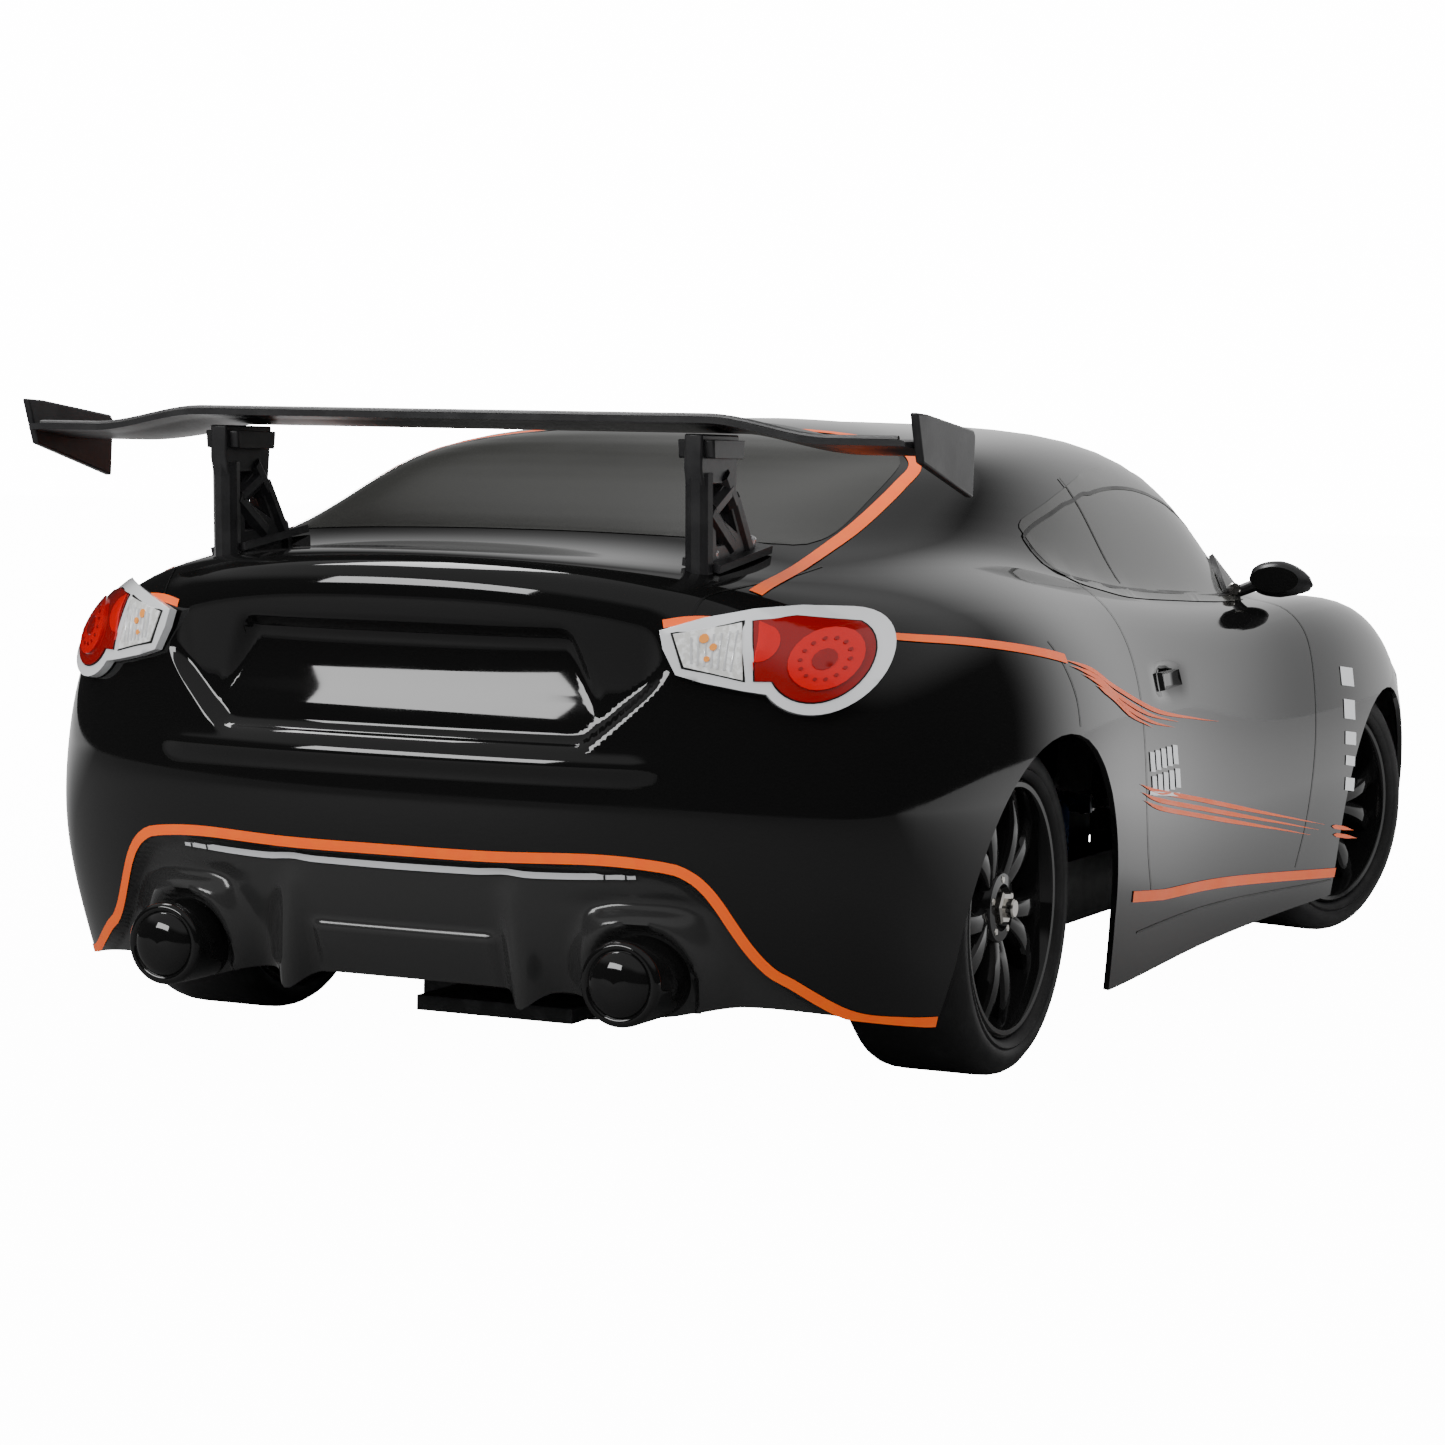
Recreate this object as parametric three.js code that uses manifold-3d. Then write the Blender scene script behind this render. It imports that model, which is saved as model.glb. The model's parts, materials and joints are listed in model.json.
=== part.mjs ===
// A 1/10 scale rear-wheel-drive drift car with a coupe body.
// Millimetres, +X forward, +Y left, +Z up, origin on the ground below the middle of the body.
// Side parts are drawn for the left side, with y measured outwards, and mirrored by their group.
import * as THREE from "three";
import { mergeVertices } from "three/addons/utils/BufferGeometryUtils.js";
import Module from "manifold-3d";

const wasm = await Module();
wasm.setup();
const RAD = Math.PI / 180;

// ---- Driving dimensions: the whole car ----
const WHEELBASE = 257;
const REAR_OVERHANG = 84; // rear axle to tail
const FRONT_OVERHANG = 86; // front axle to nose
const BODY_WIDTH = 201; // across the front arches
const BODY_HEIGHT = 126.5; // ground to roof
const REST_STEER = 17 * RAD; // the front wheels stand turned to the right
const PLAY = 0.3; // between pieces that touch
const SLIDE = 0.5; // between pieces that move against each other

// ---- Body shell ----
const SHELL_WALL = 1.2;
const SKIN_GAP = 0.5; // between the skin and what sits on it
const SHELL_COLUMNS = 19; // facets from tail to nose along one side
const SHELL_ROWS = 14; // facets from skirt to roof
const REAR_ARCH = { gap: 7.5, shift: 3, lift: -6, spread: 5 }; // over the tyre, from the axle, at the skirt
const FRONT_ARCH = { gap: 6, shift: 0.5, lift: -8, spread: -1 };
const TAIL_PIPE_R = 7.8;
const TAIL_PIPE_Y = 47.5;
const TAIL_PIPE_Z = 25;
const LAMP_THICK = 1.6;
const LAMP_R = 8.8;
const LAMP_Y = 75.3;
const LAMP_Z = 81.3;
const POST_TOP_GAP = 3.5; // magnet post to the shell over it

// ---- Wing ----
const WING_INSET = 8.5; // body side to the blade's end
const WING_CHORD = 29;
const WING_THICK = 2.6;
const WING_FRONT_X = -165;
const WING_Z = 122.3; // underside of the raised middle
const WING_STEP = 3.4; // how far the outer ends sit lower
const STAY_Y = 50;
const STAY_THICK = 4;
const ENDPLATE_THICK = 1.6;

// ---- Wheels ----
const TYRE_R = 32.5;
const TYRE_WIDTH = 26;
const TYRE_INSET = 8; // body side to the outer tyre wall
const RIM_R = 25;
const RIM_WALL = 2.2;
const RIM_INSET = 1; // tyre wall to rim edge
const SPOKES = 5;
const HUB_R = 7;
const AXLE_R = 3;

// ---- Chassis ----
const GROUND_GAP = 9;
const FLOOR = 3;
const TUB_WALL = 2.5;
const TUB_WALL_Z = 24;
const KEEL_HALF = 17;
const KEEL_FRONT = 50; // ahead of the front axle
const KEEL_REAR = 40; // behind the rear axle
const POST_Y = 28; // shell posts on the shock towers
const POST_R = 2.5;
const MAGNET_R = 5;

// ---- Suspension ----
const HINGE_Y = 22; // inner hinge of a lower arm
const HINGE_Z = 15;
const KINGPIN_GAP = 1; // kingpin to the inner tyre wall
const PIN_INSET = 9; // kingpin to the outer hinge of the arm
const LINK_RISE = 17.5; // upper link above the axle
const LINK_X = 4; // upper link out from the axle
const PIN_R = 1.5;
const STUD_R = 1.3;
const ARM_HALF = 17.5;
const ARM_THICK = 5;
const CARRIER_HALF = 6;
const DAMPER_X = 16; // out from the axle
const DAMPER_FOOT_INSET = 9.5; // outer arm hinge to the damper's foot
const DAMPER_LEAN = 11; // the top sits further in than the foot
const DAMPER_TOP_Z = 70;
const DAMPER_FOOT_RISE = 7; // over the arm's hinge
const DAMPER_R = 5.2;
const ROD_R = 1.3;
const TOWER_X = 23.5;
const TOWER_THICK = 3;

// ---- Steering ----
const STEER_ARM = 17;
const RACK_HALF = 30;
const RACK_DROP = 2.5; // below the axle
const RACK_SIDE = 5;
const HORN_R = 14;
const SERVO_AXIS_RISE = 11; // over the floor
const SERVO_LENGTH = 38;
const SERVO_HEIGHT = 20;
const SERVO_Y = [-10, 30];

// ---- Drivetrain ----
const GEAR_MODULE = 0.8;
const GEAR_WIDTH = 4;
const SPOOL_TEETH = 46;
const LAY_TEETH = 12;
const SPUR_TEETH = 48;
const PINION_TEETH = 18;
const LAY_RISE = 25 * RAD; // layshaft above the axle, seen from the side
const MOTOR_R = 18;
const MOTOR_LENGTH = 50;
const MOTOR_GAP = 1.5; // over the floor
const CUP_R = 5;
const BALL_R = 2.4;
const BONE_R = 1.6;
const CUP_WALL = 1.5;
const CUP_END = 19.5; // half length of the spool
const CUP_DEEP = 12; // the spool's cups start here
const GEARBOX_HALF = 16;

// ---- Electronics ----
const BATTERY_WIDTH = 44;
const BATTERY_HEIGHT = 25;
const BATTERY_WALL_GAP = 5; // tub side to battery
const ESC_HEIGHT = 18;
const RECEIVER_HEIGHT = 12;

// ---- Worked out from the above ----
const BODY_LENGTH = REAR_OVERHANG + WHEELBASE + FRONT_OVERHANG;
const REAR_X = REAR_OVERHANG - BODY_LENGTH / 2;
const FRONT_X = REAR_X + WHEELBASE;
const AXLE_Z = TYRE_R;
const FLOOR_Z = GROUND_GAP + FLOOR;
const WHEEL_Y = BODY_WIDTH / 2 - TYRE_INSET - TYRE_WIDTH / 2;
const KINGPIN_INSET = TYRE_WIDTH / 2 + KINGPIN_GAP;
const KINGPIN_Y = WHEEL_Y - KINGPIN_INSET;
const PIN_Y = KINGPIN_Y - PIN_INSET;
const RIM_HALF = TYRE_WIDTH / 2 - RIM_INSET;
const LINK_Z = AXLE_Z + LINK_RISE;
const RACK_Z = AXLE_Z - RACK_DROP;
const SERVO_AXIS_Z = FLOOR_Z + SERVO_AXIS_RISE;
const DAMPER_FOOT = { y: PIN_Y - DAMPER_FOOT_INSET, z: HINGE_Z + DAMPER_FOOT_RISE };
const DAMPER_TOP = { y: DAMPER_FOOT.y - DAMPER_LEAN, z: DAMPER_TOP_Z };
const DAMPER_SPAN = Math.hypot(DAMPER_LEAN, DAMPER_TOP.z - DAMPER_FOOT.z);
const DAMPER_TILT = Math.atan2(DAMPER_LEAN, DAMPER_TOP.z - DAMPER_FOOT.z);
const TUB_HALF = PIN_Y - 6.5; // inside the carriers
const KNUCKLE = { low: AXLE_Z - 8, high: AXLE_Z + 8 };
const RACK_X = FRONT_X - STEER_ARM * Math.cos(REST_STEER);
const RACK_SHIFT = STEER_ARM * Math.sin(REST_STEER);
const tipRadius = (teeth) => (teeth * GEAR_MODULE) / 2 + 0.85 * GEAR_MODULE;
const centres = (a, b) => ((a + b) * GEAR_MODULE) / 2 + 0.1;
const LAY_X = REAR_X + centres(SPOOL_TEETH, LAY_TEETH) * Math.cos(LAY_RISE);
const LAY_Z = AXLE_Z + centres(SPOOL_TEETH, LAY_TEETH) * Math.sin(LAY_RISE);
const MOTOR_Z = FLOOR_Z + MOTOR_GAP + MOTOR_R;
const MOTOR_DROP = Math.asin((LAY_Z - MOTOR_Z) / centres(SPUR_TEETH, PINION_TEETH));
const MOTOR_X = LAY_X + centres(SPUR_TEETH, PINION_TEETH) * Math.cos(MOTOR_DROP);
const SPUR_Y = GEARBOX_HALF + 4.5;
const MOTOR_FACE_Y = SPUR_Y - 2.5;
const TUB_X = [MOTOR_X - MOTOR_R - 8, FRONT_X - TYRE_R - 0.5];
const KEEL_X = [REAR_X - KEEL_REAR, FRONT_X + KEEL_FRONT];
const SERVO_FRONT = RACK_X - 11;
const BAY_X = [MOTOR_X + MOTOR_R + 14.2, SERVO_FRONT - SERVO_LENGTH - 18]; // free floor between motor and servo
const HORN_LIFT = Math.sqrt(HORN_R ** 2 - RACK_SHIFT ** 2); // horn's pin over the servo shaft
const BONE = { inner: CUP_END - 2, outer: PIN_Y - 3.5 }; // ball centres of a driveshaft

// ---- Materials ----
const finish = (color, roughness, metalness) => ({ color, roughness, metalness });
const GLOSS_BLACK = finish(0x0a0a0a, 0.08, 0);
const SATIN_BLACK = finish(0x1c1c1e, 0.45, 0);
const NYLON = finish(0x202122, 0.6, 0);
const RUBBER = finish(0x161616, 0.8, 0);
const CHROME = finish(0xd4d6d8, 0.12, 1);
const ALUMINIUM = finish(0x9ea2a6, 0.35, 1);
const STEEL = finish(0x8a8c8e, 0.3, 1);
const ORANGE_ALUMINIUM = finish(0xd9651e, 0.35, 1);
const FOAM = finish(0x2b2b2b, 0.95, 0);
const WRAP_BLUE = finish(0x26486e, 0.4, 0);

// ---- Solids ----
function solid(geometry) {
  const bare = geometry.clone();
  bare.deleteAttribute("normal");
  bare.deleteAttribute("uv");
  const merged = mergeVertices(bare, 1e-4);
  return new wasm.Manifold(
    new wasm.Mesh({
      numProp: 3,
      vertProperties: new Float32Array(merged.attributes.position.array),
      triVerts: new Uint32Array(merged.index.array),
    }),
  );
}

function geometryOf(made) {
  const mesh = made.getMesh();
  const geometry = new THREE.BufferGeometry();
  geometry.setAttribute("position", new THREE.BufferAttribute(mesh.vertProperties, 3));
  geometry.setIndex(new THREE.BufferAttribute(mesh.triVerts, 1));
  geometry.computeVertexNormals();
  return geometry;
}

const union = (...parts) => parts.reduce((a, b) => a.add(b));
const cut = (body, ...tools) => tools.reduce((a, b) => a.subtract(b), body);

function box([x0, x1], [y0, y1], [z0, z1]) {
  const geometry = new THREE.BoxGeometry(x1 - x0, y1 - y0, z1 - z0);
  return solid(geometry.translate((x0 + x1) / 2, (y0 + y1) / 2, (z0 + z1) / 2));
}

// A round bar between two points.
function bar(from, to, radius, sides = 8) {
  const a = new THREE.Vector3(...from);
  const b = new THREE.Vector3(...to);
  const along = b.clone().sub(a);
  const geometry = new THREE.CylinderGeometry(radius, radius, along.length(), sides);
  const turn = new THREE.Quaternion().setFromUnitVectors(new THREE.Vector3(0, 1, 0), along.normalize());
  const middle = a.add(b).multiplyScalar(0.5);
  return solid(geometry.applyQuaternion(turn).translate(middle.x, middle.y, middle.z));
}

const ball = ([x, y, z], radius) => solid(new THREE.SphereGeometry(radius, 8, 6).translate(x, y, z));

// A ring with a bore, its axis along X.
function eye([x, y, z], outer, bore, width) {
  const ring = bar([x - width / 2, y, z], [x + width / 2, y, z], outer);
  return cut(ring, bar([x - width, y, z], [x + width, y, z], bore));
}

// A flat outline of [a, b] points, thickened from c0 to c1 along the named axis.
function slab(outline, axis, c0, c1) {
  const shape = new THREE.Shape(outline.map(([a, b]) => new THREE.Vector2(a, b)));
  const geometry = new THREE.ExtrudeGeometry(shape, { depth: c1 - c0, bevelEnabled: false });
  geometry.translate(0, 0, c0);
  if (axis === "x") geometry.rotateX(Math.PI / 2).rotateZ(Math.PI / 2);
  if (axis === "y") geometry.rotateX(Math.PI / 2).translate(0, c0 + c1, 0);
  return solid(geometry);
}

// A spur gear around the Y axis. One tooth points along the given direction, measured from +X up to +Z.
function gear([x, y0, z], teeth, width, toward) {
  const radius = (teeth * GEAR_MODULE) / 2;
  const root = radius - 1.2 * GEAR_MODULE;
  const tip = tipRadius(teeth);
  const pitch = (2 * Math.PI) / teeth;
  const outline = [];
  for (let i = 0; i < teeth; i++) {
    const middle = toward + i * pitch;
    for (const [r, share] of [[root, -0.25], [tip, -0.09], [tip, 0.09], [root, 0.25]]) {
      const angle = middle + share * pitch;
      outline.push([x + r * Math.cos(angle), z + r * Math.sin(angle)]);
    }
  }
  return slab(outline, "y", y0, y0 + width);
}

const car = new THREE.Group();

function add(parent, name, made, look) {
  const mesh = new THREE.Mesh(geometryOf(made), new THREE.MeshStandardMaterial(look));
  mesh.name = name;
  parent.add(mesh);
  return mesh;
}

function groupAt(parent, position = [0, 0, 0], scale = [1, 1, 1]) {
  const group = new THREE.Group();
  group.position.set(...position);
  group.scale.set(...scale);
  parent.add(group);
  return group;
}

const SIDES = [
  ["left", 1],
  ["right", -1],
];
const span = (a, b) => [Math.min(a, b), Math.max(a, b)];

// ---- Body shell ----
// The skin is a cubic B-spline over a cage of rings from the skirt up to the roof. Each ring runs
// from the middle of the tail round the side to the middle of the nose, as [x, half width, z].
// It is drawn on a reference car and stretched to the driving dimensions by place().
const REFERENCE = { tail: -213.5, rear: -129.5, front: 127.5, nose: 213.5, width: 201, height: 126.5 };
const CAGE = [
  // skirt edge
  [[-203, 0, 20.5], [-203, 30, 20.5], [-199, 56, 20.5], [-188, 79, 18], [-173, 90.5, 15], [-152, 95.5, 13],
    [-120, 98.5, 12], [-70, 95.5, 10.5], [-15, 93, 11.5], [40, 94.5, 12.5], [95, 98, 13], [140, 98, 13],
    [178, 90, 12], [199, 69, 12], [209, 37, 12], [212, 0, 12]],
  // lower bumper and sill
  [[-209, 0, 31], [-208, 30, 31], [-203, 57, 31], [-191, 82, 29], [-176, 92, 28], [-154, 97.5, 27],
    [-120, 101, 26], [-70, 97, 25], [-15, 93.5, 25], [40, 95.5, 25], [95, 100, 25], [140, 101, 25],
    [180, 93, 23], [201, 71, 21], [212, 38, 20], [215, 0, 20]],
  // bumper
  [[-214, 0, 46], [-213, 30, 46], [-207, 58, 46], [-194, 84.5, 44], [-178, 93.5, 43], [-155, 99, 42],
    [-120, 102.5, 41], [-70, 97.5, 41], [-15, 93.5, 41], [40, 95.5, 41], [95, 101.5, 41], [140, 102.5, 40],
    [181, 94, 37], [202, 72, 34], [213, 38, 32], [216, 0, 32]],
  // waist
  [[-213, 0, 62], [-212, 30, 62], [-206, 58, 62], [-193, 84.5, 60], [-177, 93.5, 59], [-155, 99, 58],
    [-120, 103, 58], [-70, 97.5, 57], [-15, 93, 57], [40, 95, 57], [95, 101.5, 57], [140, 102.5, 56],
    [181, 93, 51], [201, 71, 46], [211, 38, 43], [214, 0, 43]],
  // tail lamps and door handles
  [[-211, 0, 78], [-210, 30, 78], [-204.5, 57, 77], [-192, 82, 75], [-176.5, 91.5, 74], [-155, 97.5, 73],
    [-120, 102, 73], [-70, 96, 71], [-15, 91.8, 70], [40, 93.2, 70], [95, 100, 71], [140, 101, 69],
    [179, 90, 63], [198, 68, 57], [207, 36, 54], [210, 0, 54]],
  // below the shoulder
  [[-211.5, 0, 94], [-210.5, 30, 93], [-203.5, 56, 90], [-190, 76.5, 86.5], [-174.5, 86, 85.5], [-153, 92.5, 86],
    [-118, 97, 85.5], [-70, 92.5, 81.5], [-15, 90.8, 78], [40, 92, 77.5], [95, 97.5, 81.5], [138, 97.5, 79],
    [170, 84.5, 71.5], [188, 63, 66], [199, 35, 63], [202, 0, 63]],
  // boot lip, shoulder and wing crest
  [[-208.5, 0, 100], [-207.5, 29, 99], [-199.5, 52, 96.5], [-186, 68, 93.5], [-170, 77.5, 92.5], [-148, 83.5, 93],
    [-115, 88.5, 92.5], [-70, 88, 88.5], [-15, 88, 83.5], [38, 88.5, 82.5], [90, 90, 87.5], [130, 89, 87],
    [159, 76.5, 80], [175, 57, 75.5], [185, 31, 74], [188, 0, 74]],
  // deck and bonnet
  [[-191, 0, 100], [-190, 27, 99.5], [-184, 47, 98], [-173, 61, 97], [-158, 68.5, 97], [-137, 74.5, 97.5],
    [-105, 80, 97], [-64, 82.5, 92], [-14, 84, 87], [36, 84, 85.5], [80, 81, 86.5], [106, 73, 86.5],
    [127, 60, 86], [138, 43, 85.5], [144, 22, 85.5], [146, 0, 85.5]],
  // foot of the glass
  [[-166, 0, 101.5], [-165, 23, 101.5], [-161, 41, 101.5], [-153, 54.5, 101.8], [-138, 63, 102], [-115, 69, 101.8],
    [-86, 74, 99], [-54, 78, 93.5], [-12, 80, 89], [32, 79.5, 87.3], [62, 77, 88], [80, 70, 89.5],
    [90, 58, 90.5], [95, 42, 91], [98, 22, 91.3], [99, 0, 91.3]],
  // half way up the glass
  [[-131, 0, 112], [-130.5, 22, 112], [-128, 40, 112], [-123, 54.5, 112], [-109, 64, 112], [-88, 69, 111.5],
    [-64, 72, 110], [-37, 74, 107.5], [-5, 75, 105], [25, 75, 103.5], [47, 73, 102.5], [62, 66.5, 102.8],
    [71, 55, 104], [76, 39, 105], [79, 20, 105.5], [80, 0, 105.5]],
  // roof rail
  [[-86, 0, 123.4], [-87, 19, 123.2], [-91, 37, 122.5], [-95, 51, 121], [-85, 61, 120.5], [-67, 64.5, 121],
    [-47, 66, 121.8], [-25, 66.5, 122], [-3, 66, 121.5], [17, 65, 120.3], [31, 62.5, 119.2], [40, 56, 119],
    [45, 45, 120], [48, 31, 120.8], [50, 15, 121.2], [50, 0, 121.2]],
  // roof
  [[-54, 0, 127], [-55, 11, 127], [-56, 25, 126.6], [-55, 36, 126], [-49, 42.5, 125.8], [-39, 45, 126],
    [-28, 46, 126.2], [-15, 46.5, 126.3], [-2, 46, 126.1], [8, 44, 125.6], [15, 40, 125.3], [20, 33, 125.4],
    [23, 25, 125.8], [25, 17, 126], [26, 8, 126.1], [26, 0, 126.1]],
  // middle of the roof
  Array.from({ length: 16 }, (_, i) => [-28 + 2.5 * i, 0, 127.2]),
];
const CAGE_ROWS = CAGE.length - 1;
const CAGE_COLUMNS = CAGE[0].length - 1;

// Stretches a point of the reference car to this car's overhangs, wheelbase, width and height.
function place([x, y, z]) {
  const bay = (value, a0, a1, b0, b1) => b0 + ((value - a0) * (b1 - b0)) / (a1 - a0);
  const along =
    x < REFERENCE.rear
      ? bay(x, REFERENCE.tail, REFERENCE.rear, REAR_X - REAR_OVERHANG, REAR_X)
      : x < REFERENCE.front
        ? bay(x, REFERENCE.rear, REFERENCE.front, REAR_X, FRONT_X)
        : bay(x, REFERENCE.front, REFERENCE.nose, FRONT_X, FRONT_X + FRONT_OVERHANG);
  return [along, (y * BODY_WIDTH) / REFERENCE.width, (z * BODY_HEIGHT) / REFERENCE.height];
}

// A cage point, mirrored past the middle of the tail, nose and roof, and carried on below the skirt.
function cagePoint(row, column) {
  if (row < 0) {
    const edge = cagePoint(0, column);
    const next = cagePoint(1, column);
    return edge.map((value, k) => 2 * value - next[k]);
  }
  if (row > CAGE_ROWS) {
    const [x, y, z] = cagePoint(2 * CAGE_ROWS - row, column);
    return [x, -y, z];
  }
  if (column < 0 || column > CAGE_COLUMNS) {
    const [x, y, z] = cagePoint(row, column < 0 ? -column : 2 * CAGE_COLUMNS - column);
    return [x, -y, z];
  }
  return CAGE[row][column];
}

function weights(t) {
  const s = 1 - t;
  return [s ** 3 / 6, (3 * t ** 3 - 6 * t ** 2 + 4) / 6, (3 * s ** 3 - 6 * s ** 2 + 4) / 6, t ** 3 / 6];
}

// A point of the left half of the skin, for u from skirt 0 to roof 1 and v from tail 0 to nose 1.
function skinPoint(u, v) {
  const row = Math.min(Math.floor(u * CAGE_ROWS), CAGE_ROWS - 1);
  const column = Math.min(Math.floor(v * CAGE_COLUMNS), CAGE_COLUMNS - 1);
  const across = weights(u * CAGE_ROWS - row);
  const along = weights(v * CAGE_COLUMNS - column);
  const sum = [0, 0, 0];
  across.forEach((a, i) =>
    along.forEach((b, j) => {
      const point = cagePoint(row - 1 + i, column - 1 + j);
      point.forEach((value, k) => (sum[k] += a * b * value));
    }),
  );
  return new THREE.Vector3(...place(sum));
}

// The skin moved along its normal. The slopes are taken inside the half, so mirrored halves meet.
function offsetPoint(u, v, offset) {
  const step = 0.004;
  const point = skinPoint(u, v);
  const [v0, v1] = [Math.max(v - step, 0), Math.min(v + step, 1)];
  const [u0, u1] = [Math.max(u - step, 0), Math.min(u + step, 1)];
  const forward = skinPoint(u, v1).sub(skinPoint(u, v0));
  const upward = skinPoint(u1, v).sub(skinPoint(u0, v));
  const outward = upward.cross(forward);
  if (v === 0 || v === 1 || u === 1) outward.y = 0;
  return point.addScaledVector(outward.normalize(), offset);
}

// The closed solid inside the skin moved out by an offset, with its open bottom carried down.
function bodySolid(offset, below) {
  const round = 2 * SHELL_COLUMNS;
  const points = [];
  for (let row = 0; row <= SHELL_ROWS; row++) {
    for (let column = 0; column < round; column++) {
      const mirrored = column > SHELL_COLUMNS;
      const v = (mirrored ? round - column : column) / SHELL_COLUMNS;
      const point = offsetPoint(row / SHELL_ROWS, v, offset);
      // from the tail along the right side to the nose, and back along the left side
      if (!mirrored) point.y = -point.y;
      points.push(point);
    }
  }
  const foot = points.slice(0, round).map((p) => new THREE.Vector3(p.x, p.y, p.z - below));
  const skinCount = points.length;
  points.push(...foot, new THREE.Vector3(0, 0, -below));
  const centre = points.length - 1;
  const index = [];
  const next = (column) => (column + 1) % round;
  for (let row = 0; row < SHELL_ROWS; row++) {
    for (let column = 0; column < round; column++) {
      const a = row * round + column;
      const b = row * round + next(column);
      index.push(a, b, b + round, a, b + round, a + round);
    }
  }
  for (let column = 0; column < round; column++) {
    const low = skinCount + column;
    const lowNext = skinCount + next(column);
    index.push(low, lowNext, next(column), low, next(column), column);
    index.push(centre, lowNext, low);
  }
  const geometry = new THREE.BufferGeometry().setFromPoints(points);
  geometry.setIndex(index);
  return solid(geometry);
}

const OUTSIDE = bodySolid(SKIN_GAP, 1);

// The opening over a wheel: an arc, with its ends carried down to the skirt.
function archCutter(axleX, arch, reach) {
  const radius = TYRE_R + arch.gap;
  const x = axleX + arch.shift;
  const z = AXLE_Z + arch.lift;
  const outline = [[x - radius - arch.spread, 0], [x + radius + arch.spread, 0]];
  for (let i = 0; i <= 20; i++) {
    const angle = (i * Math.PI) / 20;
    outline.push([x + radius * Math.cos(angle), z + radius * Math.sin(angle)]);
  }
  return slab(outline, "y", ...reach);
}

function bodyShell() {
  let shell = cut(bodySolid(0, 0.01), bodySolid(-SHELL_WALL, 30));
  for (const [, side] of SIDES) {
    const reach = span(side * KINGPIN_Y, side * BODY_WIDTH);
    shell = cut(shell, archCutter(REAR_X, REAR_ARCH, reach), archCutter(FRONT_X, FRONT_ARCH, reach));
    const tail = REAR_X - REAR_OVERHANG;
    const pipe = bar(
      [tail + 18, side * TAIL_PIPE_Y, TAIL_PIPE_Z],
      [tail + 0.5, side * TAIL_PIPE_Y, TAIL_PIPE_Z],
      TAIL_PIPE_R,
      16,
    );
    shell = union(shell, pipe);
  }
  return shell;
}

const shell = groupAt(car);
add(shell, "body_shell", bodyShell(), GLOSS_BLACK);

// A tail lamp lies on the skin inside an outline that points inboard and ends in a round lamp.
function tailLamp() {
  const drawn = [[50.3, 86.8], [53.5, 79.2], [66, 75]];
  for (let i = 0; i <= 10; i++) {
    const angle = (-125 + i * 20) * RAD;
    drawn.push([LAMP_Y + LAMP_R * Math.cos(angle), LAMP_Z + LAMP_R * Math.sin(angle)]);
  }
  drawn.push([66, 89.6]);
  const outline = drawn.map(([y, z]) => place([REFERENCE.tail, y, z]).slice(1));
  const prism = slab(outline, "x", REAR_X - REAR_OVERHANG - 5, REAR_X - 30);
  return cut(bodySolid(SKIN_GAP + LAMP_THICK, 1), OUTSIDE).intersect(prism);
}

// The mirror head on its arm, with a round clamp knob below the foot of the windscreen pillar.
function mirror() {
  const head = new THREE.SphereGeometry(1, 10, 6).scale(5, 8.2, 4.8);
  const [x, y, z] = place([60, 78.5, 87.5]);
  return union(
    solid(head.rotateX(-10 * RAD).translate(x + 3, y + 11, z + 4)),
    bar([x, y, z], [x + 2, y + 9, z + 3], 1.6),
    bar([x - 1, y - 1.5, z - 8.5], [x - 1, y - 1.5, z - 2.5], 4, 16),
    bar([x - 1, y - 1.5, z - 3.5], [x, y, z + 0.5], 1.8),
  );
}

for (const [name, side] of SIDES) {
  const half = groupAt(shell, [0, 0, 0], [1, side, 1]);
  add(half, `tail_lamp_${name}`, tailLamp(), CHROME);
  add(half, `mirror_${name}`, cut(mirror(), OUTSIDE), SATIN_BLACK);
}

// ---- Wing ----
const WING_HALF_SPAN = BODY_WIDTH / 2 - WING_INSET;

// One blade section, lifted in the middle and lower at both ends, swept along the span.
function wingBlade() {
  const stations = [
    [-WING_HALF_SPAN, -WING_STEP],
    [-77, -WING_STEP],
    [-66, -0.55 * WING_STEP],
    [-54, 0],
    [54, 0],
    [66, -0.55 * WING_STEP],
    [77, -WING_STEP],
    [WING_HALF_SPAN, -WING_STEP],
  ];
  const section = [
    [0, 0.6],
    [-0.5 * WING_CHORD, 0],
    [-WING_CHORD, 1.6],
    [-WING_CHORD, 3.2],
    [-0.5 * WING_CHORD, WING_THICK],
    [-0.06 * WING_CHORD, WING_THICK - 0.4],
  ];
  const points = [];
  for (const [y, rise] of stations)
    for (const [x, z] of section)
      points.push(new THREE.Vector3(WING_FRONT_X + x, y, WING_Z + rise + z));
  const index = [];
  const count = section.length;
  for (let station = 0; station < stations.length - 1; station++) {
    for (let i = 0; i < count; i++) {
      const a = station * count + i;
      const b = station * count + ((i + 1) % count);
      index.push(a, b, b + count, a, b + count, a + count);
    }
  }
  const last = (stations.length - 1) * count;
  for (let i = 1; i < count - 1; i++) index.push(0, i + 1, i, last, last + i, last + i + 1);
  const geometry = new THREE.BufferGeometry().setFromPoints(points);
  geometry.setIndex(index);
  return solid(geometry);
}

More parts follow.
